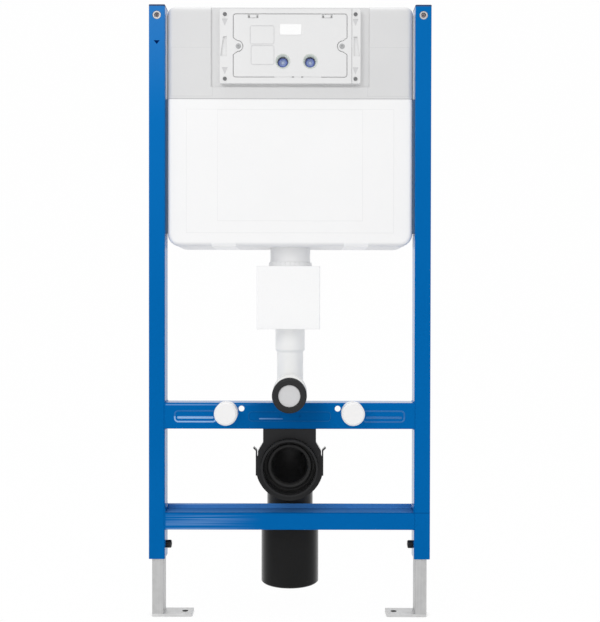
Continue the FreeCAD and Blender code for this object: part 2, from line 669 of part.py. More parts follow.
# Service frame: plastic surround in the recess, with a pocket for the cover and slots for plate clips
service_frame = rounded_block(
    around(0, SERVICE_FRAME_WIDTH),
    (frame_front, recess_face),
    (service_top - SERVICE_FRAME_HEIGHT, service_top),
    ALONG_Y,
    SERVICE_FRAME_CORNER,
)
pocket_floor = frame_front + SERVICE_COVER_THICKNESS
cover_middle = service_middle + SERVICE_COVER_RAISE
pocket = rounded_block(
    widened(around(0, SERVICE_COVER_WIDTH), SERVICE_COVER_GAP),
    (frame_front - CUT_OVER, pocket_floor),
    widened(around(cover_middle, SERVICE_COVER_HEIGHT), SERVICE_COVER_GAP),
    ALONG_Y,
    SERVICE_COVER_CORNER + SERVICE_COVER_GAP,
)
tab = service_bay(SERVICE_COVER_GAP)
pocket = pocket.cut(tab).cut(mirrored(tab))
service_frame = service_frame.cut(opening).cut(pocket)
groove = block(
    around(SERVICE_GROOVE_FROM_MIDDLE, SERVICE_GROOVE_WIDTH),
    (frame_front - CUT_OVER, frame_front + SERVICE_GROOVE_DEPTH),
    (service_top - SERVICE_FRAME_HEIGHT - CUT_OVER, service_top + CUT_OVER),
)
service_frame = service_frame.cut(groove)
slot_outer = SERVICE_FRAME_WIDTH / 2 - SERVICE_SLOT_FROM_SIDE
slot_ends_z = around(service_middle, SERVICE_SLOT_HEIGHT)
taper = extruded(
    [
        FreeCAD.Vector(slot_outer, frame_front - CUT_OVER, slot_ends_z[0]),
        FreeCAD.Vector(slot_outer - SERVICE_SLOT_WIDTH, frame_front - CUT_OVER, slot_ends_z[0]),
        FreeCAD.Vector(slot_outer - SERVICE_SLOT_WIDTH, frame_front - CUT_OVER, slot_ends_z[1]),
        FreeCAD.Vector(
            slot_outer - SERVICE_SLOT_WIDTH + SERVICE_SLOT_NARROW, frame_front - CUT_OVER, slot_ends_z[1]
        ),
    ],
    ALONG_Y * (SERVICE_SLOT_DEPTH + CUT_OVER),
)
service_frame = service_frame.cut(taper).cut(mirrored(taper))
pieces["service_frame"] = service_frame

# Service cover: plate in the pocket with side bays, clip notches and a well for each actuator
cover_front = frame_front
cover_y = (cover_front, pocket_floor)
cover_z = around(cover_middle, SERVICE_COVER_HEIGHT)
service_cover = rounded_block(
    around(0, SERVICE_COVER_WIDTH), cover_y, cover_z, ALONG_Y, SERVICE_COVER_CORNER
)
bay = service_bay(0)
service_cover = service_cover.cut(bay).cut(mirrored(bay))
for notch_x in around(0, CLIP_NOTCH_SPACING):
    notch_z = (cover_z[1] - CLIP_NOTCH_HEIGHT, cover_z[1] + CUT_OVER)
    notch = block(around(notch_x, CLIP_NOTCH_WIDTH), widened(cover_y, CUT_OVER), notch_z)
    service_cover = service_cover.cut(notch)
actuator_height = service_middle - ACTUATOR_BELOW_MIDDLE
actuator_bore = ACTUATOR_RADIUS + ACTUATOR_CLEARANCE
for actuator_x in around(ACTUATOR_OFFSET, ACTUATOR_SPACING):
    well_start = FreeCAD.Vector(actuator_x, cover_front, actuator_height)
    service_cover = service_cover.cut(cylinder(WELL_RADIUS, well_start, ALONG_Y, WELL_DEPTH))
    well = turned(
        [
            (WELL_RADIUS, 0),
            (well_outer, 0),
            (well_outer, WELL_DEPTH),
            (actuator_bore, WELL_DEPTH),
            (actuator_bore, WELL_DEPTH - WELL_FLOOR),
            (WELL_RADIUS, WELL_DEPTH - WELL_FLOOR),
        ],
        well_start,
        ALONG_Y,
    )
    service_cover = service_cover.fuse(well)
pieces["service_cover"] = service_cover.removeSplitter()

# Flush actuators: plungers in the wells that are pressed towards the wall
for side, actuator_x in zip(("left", "right"), around(ACTUATOR_OFFSET, ACTUATOR_SPACING)):
    actuator_start = FreeCAD.Vector(actuator_x, cover_front + ACTUATOR_SET_BACK, actuator_height)
    pieces[side + "_flush_actuator"] = turned(
        [
            (0, ACTUATOR_SOCKET_DEPTH),
            (ACTUATOR_SOCKET_RADIUS, ACTUATOR_SOCKET_DEPTH),
            (ACTUATOR_SOCKET_RADIUS, 0),
            (ACTUATOR_RADIUS, 0),
            (ACTUATOR_RADIUS, ACTUATOR_LENGTH),
            (0, ACTUATOR_LENGTH),
        ],
        actuator_start,
        ALONG_Y,
    )

# Outlet neck: moulded collar under the cistern that takes the flush pipe
neck_start = FreeCAD.Vector(0, FLUSH_AXIS, CISTERN_BOTTOM - NECK_LENGTH)
pieces["outlet_neck"] = turned(
    [
        (pipe_bore_fit, 0),
        (NECK_FLANGE_RADIUS, 0),
        (NECK_FLANGE_RADIUS, NECK_FLANGE_HEIGHT),
        (NECK_RADIUS, NECK_FLANGE_HEIGHT),
        (NECK_RADIUS, NECK_LENGTH),
        (pipe_bore_fit, NECK_LENGTH),
    ],
    neck_start,
    ALONG_Z,
)

# Insulation block: foam sleeve round the top of the flush pipe, under the neck
block_top = CISTERN_BOTTOM - NECK_LENGTH
block_z = (block_top - BLOCK_HEIGHT, block_top)
insulation = rounded_block(
    around(BLOCK_OFFSET, BLOCK_WIDTH), around(FLUSH_AXIS, BLOCK_DEPTH), block_z, ALONG_Z, BLOCK_CORNER
)
bore_start = FreeCAD.Vector(0, FLUSH_AXIS, block_z[0] - CUT_OVER)
insulation = insulation.cut(cylinder(pipe_bore_fit, bore_start, ALONG_Z, BLOCK_HEIGHT + 2 * CUT_OVER))
pieces["insulation_block"] = insulation

# Flush pipe: plastic pipe with a wide socket above, a knee and a collar behind the pan rail
pipe_route = [
    FreeCAD.Vector(0, FLUSH_AXIS, CISTERN_BOTTOM),
    FreeCAD.Vector(0, FLUSH_AXIS, FLUSH_OUTLET_HEIGHT),
    FreeCAD.Vector(0, FRONT - OUTLET_REACH, FLUSH_OUTLET_HEIGHT),
]
flush_pipe = bent_bar(OUTLET_RADIUS, pipe_route, FLUSH_BEND_RADIUS)
knee_top = FLUSH_OUTLET_HEIGHT + FLUSH_BEND_RADIUS
socket_end = knee_top + PIPE_BARREL_LENGTH + PIPE_TAPER
barrel = turned(
    [
        (0, 0),
        (PIPE_RADIUS, 0),
        (PIPE_RADIUS, socket_end - PIPE_TAPER - knee_top),
        (PIPE_SOCKET_RADIUS, socket_end - knee_top),
        (PIPE_SOCKET_RADIUS, CISTERN_BOTTOM - knee_top),
        (0, CISTERN_BOTTOM - knee_top),
    ],
    FreeCAD.Vector(0, FLUSH_AXIS, knee_top),
    ALONG_Z,
)
knee_route = [
    FreeCAD.Vector(0, FLUSH_AXIS, knee_top + CUT_OVER),
    FreeCAD.Vector(0, FLUSH_AXIS, FLUSH_OUTLET_HEIGHT),
    FreeCAD.Vector(0, RAIL_BACK + COLLAR_CLEARANCE, FLUSH_OUTLET_HEIGHT),
]
knee = bent_bar(PIPE_RADIUS, knee_route, FLUSH_BEND_RADIUS)
collar_front = FreeCAD.Vector(0, RAIL_BACK + COLLAR_CLEARANCE, FLUSH_OUTLET_HEIGHT)
collar = cylinder(COLLAR_RADIUS, collar_front, ALONG_Y, COLLAR_LENGTH)
flush_pipe = flush_pipe.fuse(barrel).fuse(knee).fuse(collar)
pieces["flush_pipe"] = flush_pipe.cut(bent_bar(OUTLET_RADIUS - PIPE_WALL, pipe_route, FLUSH_BEND_RADIUS))

# Flush seal: rubber sleeve on the end of the flush pipe, in front of the rail
seal_start = FreeCAD.Vector(0, FRONT - SEAL_FROM_RAIL, FLUSH_OUTLET_HEIGHT)
seal_bore = OUTLET_RADIUS + PIPE_FIT
plug_bore = PLUG_RADIUS + PIPE_FIT
pipe_in_seal = OUTLET_REACH - SEAL_FROM_RAIL
waist_end = SEAL_FLANGE_LENGTH + SEAL_WAIST_LENGTH
pieces["flush_seal"] = turned(
    [
        (seal_bore, 0),
        (SEAL_RADIUS, 0),
        (SEAL_RADIUS, SEAL_FLANGE_LENGTH),
        (SEAL_WAIST_RADIUS, SEAL_FLANGE_LENGTH),
        (SEAL_WAIST_RADIUS, waist_end),
        (SEAL_RADIUS, waist_end),
        (SEAL_RADIUS, SEAL_LENGTH - SEAL_CHAMFER),
        (SEAL_RADIUS - SEAL_CHAMFER, SEAL_LENGTH),
        (plug_bore, SEAL_LENGTH),
        (plug_bore, pipe_in_seal),
        (seal_bore, pipe_in_seal),
    ],
    seal_start,
    TO_FRONT,
)

# Flush plug: white transport plug in the mouth of the seal
plug_face = SEAL_LENGTH - PLUG_SET_BACK
pieces["flush_plug"] = turned(
    [
        (0, plug_face - PLUG_WALL),
        (PLUG_RADIUS - PLUG_WALL, plug_face - PLUG_WALL),
        (PLUG_RADIUS - PLUG_WALL, pipe_in_seal),
        (PLUG_RADIUS, pipe_in_seal),
        (PLUG_RADIUS, plug_face),
        (0, plug_face),
    ],
    seal_start,
    TO_FRONT,
)

# Pan studs: threaded rods through the pan rail with a nut behind it
stud_middle = STUD_SPACING / 2
stud_back = FRONT + RAIL_WALL + STUD_BEHIND_RAIL
stud_start = FreeCAD.Vector(stud_middle, stud_back, STUD_HEIGHT)
stud = cylinder(STUD_RADIUS, stud_start, TO_FRONT, STUD_REACH + RAIL_WALL + STUD_BEHIND_RAIL)
nut_start = FreeCAD.Vector(stud_middle, FRONT + RAIL_WALL, STUD_HEIGHT)
stud = stud.fuse(hexagon_bar(STUD_NUT_RADIUS, nut_start, ALONG_Y, STUD_NUT_HEIGHT))
add_pair("pan_stud", stud)

# Stud caps: white plastic caps over the studs, seated on the rail
cap_bore = STUD_RADIUS + PIPE_FIT
cap_bore_end = STUD_REACH + PIPE_FIT
stud_cap = turned(
    [
        (cap_bore, 0),
        (STUD_CAP_RADIUS, 0),
        (STUD_CAP_RADIUS, STUD_CAP_LENGTH - STUD_CAP_EDGE),
        (STUD_CAP_RADIUS - STUD_CAP_EDGE, STUD_CAP_LENGTH),
        (0, STUD_CAP_LENGTH),
        (0, cap_bore_end),
        (cap_bore, cap_bore_end),
    ],
    FreeCAD.Vector(stud_middle, FRONT, STUD_HEIGHT),
    TO_FRONT,
)
add_pair("stud_cap", stud_cap)

# Waste bend: black plastic bend with a wide mouth in front and a plain leg down
mouth = FreeCAD.Vector(0, FRONT - WASTE_MOUTH_PROUD, WASTE_HEIGHT)
waste_route = [
    mouth,
    FreeCAD.Vector(0, WASTE_AXIS, WASTE_HEIGHT),
    FreeCAD.Vector(0, WASTE_AXIS, WASTE_PIPE_TOP - ADAPTER_RIM),
]
waste_bend = bent_bar(WASTE_RADIUS, waste_route, WASTE_BEND_RADIUS)
waste_bend = waste_bend.fuse(cylinder(WASTE_SOCKET_RADIUS, mouth, ALONG_Y, WASTE_SOCKET_LENGTH))
waste_bend = waste_bend.cut(bent_bar(WASTE_RADIUS - WASTE_WALL, waste_route, WASTE_BEND_RADIUS))
socket_bore = WASTE_SOCKET_RADIUS - WASTE_SOCKET_WALL
socket_depth = WASTE_SOCKET_LENGTH - WASTE_SOCKET_WALL
pieces["waste_bend"] = waste_bend.cut(cylinder(socket_bore, mouth, ALONG_Y, socket_depth))

# Waste seal: rubber ring pressed into the mouth of the bend, with a lip that stands forward
seal_outer = socket_bore - WASTE_SEAL_FIT
seal_end = WASTE_SEAL_SET_BACK + WASTE_SEAL_LENGTH
pieces["waste_seal"] = turned(
    [
        (WASTE_SEAL_BORE, -WASTE_LIP_PROUD),
        (WASTE_LIP_RADIUS, -WASTE_LIP_PROUD),
        (WASTE_LIP_RADIUS, WASTE_SEAL_SET_BACK),
        (seal_outer, WASTE_SEAL_SET_BACK),
        (seal_outer, seal_end),
        (WASTE_SEAL_BORE, seal_end),
    ],
    mouth,
    ALONG_Y,
)

# Waste pipe: black pipe to the drain, with a rim where the bend enters and a depth mark groove
pipe_bore = WASTE_PIPE_RADIUS - WASTE_PIPE_WALL
rim_bore = WASTE_RADIUS + WASTE_SEAL_FIT
pipe_length = WASTE_PIPE_TOP - WASTE_PIPE_BOTTOM
groove_end = LOWER_RAIL_BOTTOM - WASTE_GROOVE_BELOW_RAIL - WASTE_PIPE_BOTTOM
groove_start = groove_end - WASTE_GROOVE_WIDTH
groove_radius = WASTE_PIPE_RADIUS - WASTE_GROOVE_DEPTH
pieces["waste_pipe"] = turned(
    [
        (pipe_bore, 0),
        (WASTE_PIPE_RADIUS - WASTE_PIPE_CHAMFER, 0),
        (WASTE_PIPE_RADIUS, WASTE_PIPE_CHAMFER),
        (WASTE_PIPE_RADIUS, groove_start),
        (groove_radius, groove_start),
        (groove_radius, groove_end),
        (WASTE_PIPE_RADIUS, groove_end),
        (WASTE_PIPE_RADIUS, pipe_length),
        (rim_bore, pipe_length),
        (rim_bore, pipe_length - ADAPTER_RIM),
        (pipe_bore, pipe_length - ADAPTER_RIM),
    ],
    FreeCAD.Vector(0, WASTE_AXIS, WASTE_PIPE_BOTTOM),
    ALONG_Z,
)

# Waste bracket: plastic ring round the mouth of the bend, hung from the pan rail, with spring clips
ring_y = FRONT + BRACKET_SET_BACK
ring_start = FreeCAD.Vector(0, ring_y, WASTE_HEIGHT)
bracket = cylinder(BRACKET_RING_RADIUS, ring_start, ALONG_Y, BRACKET_RING_LENGTH)
neck_half = BRACKET_NECK_WIDTH / 2
shoulder_half = BRACKET_SHOULDER_WIDTH / 2
hanger_outline = [
    (shoulder_half, WASTE_HEIGHT),
    (shoulder_half, WASTE_HEIGHT + BRACKET_SHOULDER_HEIGHT),
    (neck_half, PAN_RAIL_BOTTOM - BRACKET_NECK_LENGTH),
    (neck_half, PAN_RAIL_BOTTOM),
    (-neck_half, PAN_RAIL_BOTTOM),
    (-neck_half, PAN_RAIL_BOTTOM - BRACKET_NECK_LENGTH),
    (-shoulder_half, WASTE_HEIGHT + BRACKET_SHOULDER_HEIGHT),
    (-shoulder_half, WASTE_HEIGHT),
]
hanger_points = [FreeCAD.Vector(x, ring_y, z) for x, z in hanger_outline]
bracket = bracket.fuse(extruded(hanger_points, ALONG_Y * BRACKET_RING_LENGTH))
clip_x = BRACKET_RING_RADIUS
clip_z = (WASTE_HEIGHT - CLIP_BELOW_AXIS, WASTE_HEIGHT + CLIP_ABOVE_AXIS)
clip = folded_sheet(
    [
        FreeCAD.Vector(clip_x, ring_y, clip_z[0]),
        FreeCAD.Vector(clip_x, ring_y, clip_z[1]),
        FreeCAD.Vector(clip_x + CLIP_TIP, ring_y, clip_z[1] + CLIP_TIP),
    ],
    CLIP_BEND,
    CLIP_THICKNESS,
    ALONG_X * -1,
    ALONG_Y * CLIP_LENGTH,
)
bracket = bracket.fuse(clip).fuse(mirrored(clip))
ring_bore = WASTE_SOCKET_RADIUS + BRACKET_CLEARANCE
bracket = bracket.cut(cylinder(ring_bore, ring_start, ALONG_Y, BRACKET_RING_LENGTH))
pieces["waste_bracket"] = bracket.removeSplitter()

os.makedirs("parts", exist_ok=True)
for name, shape in pieces.items():
    placed = shape.copy()
    placed.translate(ORIGIN * -1)
    placed.exportStep("parts/" + name + ".step")
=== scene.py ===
import math

import bpy
import numpy as np
from mathutils import Euler, Matrix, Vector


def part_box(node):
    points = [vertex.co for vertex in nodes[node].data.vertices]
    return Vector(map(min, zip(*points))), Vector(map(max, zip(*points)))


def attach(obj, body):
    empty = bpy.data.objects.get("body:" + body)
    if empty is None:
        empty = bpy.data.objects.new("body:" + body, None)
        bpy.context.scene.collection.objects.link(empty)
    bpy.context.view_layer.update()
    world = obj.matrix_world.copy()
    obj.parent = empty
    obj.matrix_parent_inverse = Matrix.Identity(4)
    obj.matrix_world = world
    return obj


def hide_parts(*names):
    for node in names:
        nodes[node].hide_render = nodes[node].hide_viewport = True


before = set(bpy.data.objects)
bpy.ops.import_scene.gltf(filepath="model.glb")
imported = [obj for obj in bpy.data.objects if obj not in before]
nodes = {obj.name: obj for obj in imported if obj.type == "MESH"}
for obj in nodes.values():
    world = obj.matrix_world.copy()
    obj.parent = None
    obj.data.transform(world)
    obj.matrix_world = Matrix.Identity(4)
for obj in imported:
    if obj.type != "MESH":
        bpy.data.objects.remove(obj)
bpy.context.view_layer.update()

# Posts, rails and post caps
# Two upright rectangular tubes and two folded rails of steel sheet are welded into one frame.
# The frame is blasted, then powder coated in one glossy blue, with plastic caps pushed into the posts.
SIDES = ("left", "right")
WHITE_LEVEL = 255
SCREEN_GAMMA = 2.2
MIX_INPUTS = (0, 6, 7)
MIX_RESULT = 2
BEVEL_SAMPLES = 6
FACING_BLEND = 0.5


def both(name):
    """Names of the left and the right node of a kind."""
    return [side_name + "_" + name for side_name in SIDES]


def middle(name):
    """Middle of a node's box."""
    return [(start + end) / 2 for start, end in zip(*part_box(name))]


def screen_colour(red, green, blue):
    """Linear colour of a screen colour: each part is raised to the screen's gamma."""
    parts = (np.array([red, green, blue]) / WHITE_LEVEL) ** SCREEN_GAMMA
    return (*parts.tolist(), 1.0)


class Shade:
    """A socket of a material. Arithmetic with numbers and other sockets adds Math nodes."""

    def __init__(self, tree, socket=None):
        self.tree = tree
        self.socket = socket

    def node(self, kind, settings=None, inputs=None, output=0):
        """Adds a node, makes its settings, fills or links its sockets and gives one of its outputs."""
        made = self.tree.nodes.new(kind)
        for name, value in (settings or {}).items():
            setattr(made, name, value)
        for name, value in (inputs or {}).items():
            if isinstance(value, Shade):
                self.tree.links.new(value.socket, made.inputs[name])
            else:
                made.inputs[name].default_value = value
        if len(made.outputs) == 0:
            return None
        return Shade(self.tree, made.outputs[output])

    def maths(self, operation, first, second):
        """One Math node on two values."""
        return self.node("ShaderNodeMath", {"operation": operation}, {0: first, 1: second})

    def __add__(self, other):
        return self.maths("ADD", self, other)

    def __sub__(self, other):
        return self.maths("SUBTRACT", self, other)

    def __rsub__(self, other):
        return self.maths("SUBTRACT", other, self)

    def __mul__(self, other):
        return self.maths("MULTIPLY", self, other)

    def __truediv__(self, other):
        return self.maths("DIVIDE", self, other)

    def __abs__(self):
        return self.maths("ABSOLUTE", self, 0.0)

    __radd__ = __add__
    __rmul__ = __mul__

    def rise(self, low, high):
        """Smooth step from 0 at low to 1 at high."""
        ends = {"Value": self, "From Min": low, "From Max": high}
        return self.node("ShaderNodeMapRange", {"interpolation_type": "SMOOTHSTEP"}, ends)

    def between(self, low, high, blur):
        """1 from low to high, falling to 0 over a blur outside them."""
        return self.rise(low - blur, low) * (1 - self.rise(high, high + blur))

    def tint(self, first, second):
        """Colour between two colours, by this value. Each is a socket or a screen colour's three levels."""
        ends = [end if isinstance(end, Shade) else screen_colour(*end) for end in (first, second)]
        mixed = dict(zip(MIX_INPUTS, (self, *ends)))
        return self.node("ShaderNodeMix", {"data_type": "RGBA"}, mixed, MIX_RESULT)


def new_finish(name):
    """Material with no other nodes than the piece's Object coordinates, and those coordinates."""
    material = bpy.data.materials.new(name)
    material.use_nodes = True
    material.node_tree.nodes.clear()
    return material, Shade(material.node_tree).node("ShaderNodeTexCoord", output="Object")


def close_finish(where, sockets):
    """Principled shader with these sockets, joined to the material's output."""
    surface = where.node("ShaderNodeBsdfPrincipled", {}, sockets)
    where.node("ShaderNodeOutputMaterial", {}, {"Surface": surface})


def noise(where, scale, detail):
    """Cloudy value from 0 to 1, with a number of features in a metre."""
    return where.node("ShaderNodeTexNoise", {}, {"Vector": where, "Scale": scale, "Detail": detail})


def drawn_noise(where, scales, detail):
    """Cloudy value with its own number of features in a metre along each axis."""
    return noise(where.node("ShaderNodeMapping", {}, {"Vector": where, "Scale": scales}), 1.0, detail)


def soft_normal(where, radius):
    """Normal that turns smoothly over sharp edges."""
    return where.node("ShaderNodeBevel", {"samples": BEVEL_SAMPLES}, {"Radius": radius})


def edge_wear(rounded):
    """Value that grows where a soft normal leaves the normal of its face."""
    normals = {0: rounded, 1: rounded.node("ShaderNodeNewGeometry", output="Normal")}
    return 1 - rounded.node("ShaderNodeVectorMath", {"operation": "DOT_PRODUCT"}, normals, "Value")


def bump(height, distance, normal):
    """Normal of a fine relief of this height in metres, on top of another normal."""
    return normal.node("ShaderNodeBump", {}, {"Height": height, "Distance": distance, "Normal": normal})


def glancing(where, low, high):
    """Value that grows from 0 to 1 as a surface turns away from the eye, for gloss seen at a glance."""
    return where.node("ShaderNodeLayerWeight", {}, {"Blend": FACING_BLEND}, "Facing").rise(low, high)


def openness(where, reach, settings=None):
    """Part of the sky that is open over a place, as far as a reach."""
    return where.node("ShaderNodeAmbientOcclusion", settings, {"Distance": reach}, "AO")


def parts_of(where):
    """The three parts of a place, each as a value."""
    return [where.node("ShaderNodeSeparateXYZ", {}, {0: where}, part) for part in range(3)]


def dress(material, *names):
    """Gives CAD nodes this finish."""
    for name in names:
        nodes[name].data.materials.clear()
        nodes[name].data.materials.append(material)


def triangle(beside, drop, half, length, blur):
    """1 inside a triangle that points down, at a distance beside its middle and a drop below its top."""
    narrowing = half * (1 - drop / length)
    return drop.between(0.0, length, blur) * (narrowing - abs(beside)).rise(-blur, blur)


PAINT_BLUE = (0, 98, 168)
PAINT_FLOW_AND_LIT_BLUE = (24, 120, 200)
PAINT_HIGHLIGHT = (118, 160, 214)
PAINT_WORN_AND_HIGHLIT_EDGE = (86, 150, 214)
PAINT_PEEL = (520.0, 1.0)
PAINT_FLOW = (5.0, 3.0)
PAINT_SPECKLE = (2600.0, 0.0)
PAINT_ROUNDING = 0.0016
PAINT_EDGE_LEVELS = (0.02, 0.3)
PAINT_GLANCE = (0.42, 0.85)
PEEL_HEIGHT = 0.00009
STREAK_SCALES = (1.5, 60.0, 190.0)
STREAK_LEVELS = (0.48, 0.66)
STREAK_REACH = (0.06, 0.2)
STREAK_FADE = 0.05
LIT_HEIGHTS = (-0.6, 0.05)
SHEEN_HEIGHTS = (-0.2, 0.05)
LIT_SIDE = (0.1, 0.4)
RAIL_END = 0.004
RAIL_BLUR = 0.001
LINE_BLUR = 0.0006
TOP_LINE = (-0.0044, -0.0028)
SHELF_UPSTAND = 0.0085
SHELF_START = (0.0015, 0.004)
SHELF_BLUR = 0.0005
FOLD_LINE = (-0.0012, 0.0004)
PIPE_SHADOW = (0.045, 0.1)
# Dark blue of the printed mark, also used for painted shade on the rails.
MARK_AND_SHADE_BLUE = (2, 36, 84)
MARK_TOP = -0.0465
MARK_SIZE = (0.0053, 0.0068, 0.0004)
MARK_DEPTH = (0.0005, 0.001)


def span(start, offsets):
    """Two places on an axis, each at an offset from a start."""
    return [start + offset for offset in offsets]


post_low, post_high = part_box("left_post")
pan_low, pan_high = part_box("pan_rail")
shelf_low, shelf_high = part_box("lower_rail")
shelf_fold = shelf_high.z - SHELF_UPSTAND
rail_middle = middle("pan_rail")[0]

blue_paint, where = new_finish("blue_powder_coat")
across, depth, height = parts_of(where)
flow = noise(where, *PAINT_FLOW)
speckle = noise(where, *PAINT_SPECKLE)
rounded = soft_normal(where, PAINT_ROUNDING)
unlit = across.rise(*LIT_SIDE)
# Painted light: the upper part of the frame is tinted paler, most on its left side, as if lit from above
# left.
painted_top_left_light = height.rise(*LIT_HEIGHTS) * (1 - 0.6 * unlit)
# Painted sheen: near the top, the left side is tinted paler still.
sheen = height.rise(*SHEEN_HEIGHTS) * (1 - unlit)
rail_end = across.rise(post_high.x, post_high.x + RAIL_END)
# Painted highlights: drawn streaks at the left end of the lower rail, and a line under the top of the pan
# rail, stand in for reflections of a lamp.
streaks = drawn_noise(where, STREAK_SCALES, 2.0).rise(*STREAK_LEVELS)
streaks = streaks * (1 - height.rise(shelf_high.z, shelf_high.z + STREAK_FADE))
painted_highlights = (streaks + height.between(*span(pan_high.z, TOP_LINE), LINE_BLUR)) * rail_end
painted_highlights = painted_highlights * (1 - across.rise(*STREAK_REACH)) * (1 - height.rise(pan_high.z, pan_high.z + RAIL_BLUR))
# Painted light: the top face and upstand of the lower rail are tinted paler, as if lit from above.
painted_shelf_light = depth.rise(*span(shelf_low.y, SHELF_START)) * height.between(shelf_fold, shelf_high.z, SHELF_BLUR)
painted_shelf_light = painted_shelf_light * rail_end * (1 - across.rise(shelf_high.x - RAIL_BLUR, shelf_high.x))
plain_blue = (0.25 * flow + 0.6 * painted_top_left_light + painted_shelf_light).tint(PAINT_BLUE, PAINT_FLOW_AND_LIT_BLUE)
body_blue = (0.7 * painted_highlights + 0.32 * painted_shelf_light + 0.14 * sheen).tint(plain_blue, PAINT_HIGHLIGHT)
# Painted shadow: the pan rail darkens behind the flush pipe and seal.
painted_pipe_shadow = 1 - abs(across - rail_middle).rise(*PIPE_SHADOW)
painted_pipe_shadow = painted_pipe_shadow * height.between(pan_low.z, pan_high.z, RAIL_BLUR)
# Painted shade: a dark line along the fold of the lower rail.
painted_fold_shade = height.between(*span(shelf_fold, FOLD_LINE), LINE_BLUR) * rail_end
# Edges are paler: partly wear of the coat, partly painted highlight along the bends.
worn_and_highlit_edges = edge_wear(rounded).rise(*PAINT_EDGE_LEVELS) * (0.35 + 0.4 * speckle) * (1 - painted_fold_shade)
edged = (0.3 * painted_fold_shade + 0.3 * painted_pipe_shadow).tint(worn_and_highlit_edges.tint(body_blue, PAINT_WORN_AND_HIGHLIT_EDGE), MARK_AND_SHADE_BLUE)
glossy = 0.7 + 0.25 * across.rise(rail_middle, pan_high.x)
mark = triangle(across - middle("left_post")[0], MARK_TOP - height, *MARK_SIZE)
mark = mark * (1 - depth.rise(*span(post_low.y, MARK_DEPTH)))
close_finish(where, {
    "Base Color": mark.tint(edged, MARK_AND_SHADE_BLUE),
    "Roughness": 0.26 + 0.12 * flow + 0.1 * speckle,
    "Specular IOR Level": 0.01,
    "Coat Weight": glossy * glancing(where, *PAINT_GLANCE) * (1 - painted_fold_shade),
    "Coat Roughness": 0.12,
    "Normal": bump(noise(where, *PAINT_PEEL), PEEL_HEIGHT, rounded),
})
dress(blue_paint, *both("post"), "pan_rail", "lower_rail")

CAP_BLUE = (10, 72, 128)
CAP_DARK = (6, 46, 86)
CAP_GRAIN = (1800.0, 2.0)
CAP_GRAIN_HEIGHT = 0.00008
CAP_ROUNDING = 0.001
cap_blue, where = new_finish("moulded_blue_cap")
grain = noise(where, *CAP_GRAIN)
rounded = soft_normal(where, CAP_ROUNDING)
close_finish(where, {
    "Base Color": (0.6 * grain + edge_wear(rounded)).tint(CAP_DARK, CAP_BLUE),
    "Roughness": 0.4 + 0.2 * grain,
    "Normal": bump(grain, CAP_GRAIN_HEIGHT, rounded),
})
dress(cap_blue, *both("post_cap"))

# Weld runs
# Where a rail meets a post, short runs of weld follow the rail's top, bottom and front at both ends.
# They are ground a little and painted with the frame, so only a rippled bead shows.
SHARP_ANGLE = math.radians(40)
STEEP = 0.5
WELD_STEP = 0.0004
WELD_STEPS = 12
WELD_RIPPLE = 0.0022
WELD_TAPER = 12
WELD_END = 0.25


def quads(index):
    """Four-cornered faces between neighbouring rows and columns of point numbers."""
    corners = [index[:-1, :-1], index[:-1, 1:], index[1:, 1:], index[1:, :-1]]
    return np.stack(corners, axis=-1).reshape(-1, 4)


def patch(grid, ring=False):
    """Grid of points as points, four-cornered faces and end faces. Columns close on themselves.
    The rows either close too, as on a ring, or the first and last row are filled by one face each."""
    rows, columns = grid.shape[:2]
    index = np.arange(rows * columns).reshape(rows, columns)
    ends = [] if ring else [index[0, ::-1], index[-1]]
    index = np.hstack([index, index[:, :1]])
    if ring:
        index = np.vstack([index, index[:1]])
    return grid.reshape(-1, 3), quads(index), ends


def show(name, data):
    """New object of the scene with this data."""
    made = bpy.data.objects.new(name, data)
    bpy.context.scene.collection.objects.link(made)
    return made


def piece(name, patches, material, body="frame"):
    """One object made of patches, smooth but for its sharp edges, that moves with a body."""
    points = np.concatenate([spots for spots, corners, ends in patches])
    faces = []
    start = 0
    for spots, corners, ends in patches:
        faces.extend((corners + start).tolist())
        faces.extend((end + start).tolist() for end in ends)
        start += len(spots)
    mesh = bpy.data.meshes.new(name)
    mesh.from_pydata(points.tolist(), [], faces)
    mesh.polygons.foreach_set("use_smooth", np.ones(len(mesh.polygons), bool))
    mesh.set_sharp_from_angle(angle=SHARP_ANGLE)
    mesh.materials.append(material)
    made = show(name, mesh)
    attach(made, body)
    return made


def facing(direction):
    """Sideways and upward unit vectors that make a right-handed set with a direction."""
    out = np.array(direction, float)
    up = np.array([0.0, 0.0, 1.0]) if abs(out[2]) < STEEP else np.array([0.0, 1.0, 0.0])
    return np.cross(up, out), up, out


def circle(steps):
    """Angles once round a circle, without its closing point."""
    return np.linspace(0, 2 * np.pi, steps, endpoint=False)


def weld_run(start, end, radius):
    """Bead along a line: a round section whose radius swells and shrinks with every ripple."""
    start, end = np.array(start, float), np.array(end, float)
    length = np.linalg.norm(end - start)
    side, up = facing((end - start) / length)[:2]
    along = np.linspace(0, 1, int(length / WELD_STEP))[:, None, None]
    ripple = 1 + 0.1 * np.abs(np.sin(np.pi * along * length / WELD_RIPPLE))
    taper = np.clip(WELD_TAPER * np.minimum(along, 1 - along), WELD_END, 1) ** 0.5
    turn = circle(WELD_STEPS)[None, :, None]
    section = np.cos(turn) * side + np.sin(turn) * up
    return patch(start + along * (end - start) + radius * ripple * taper * section)


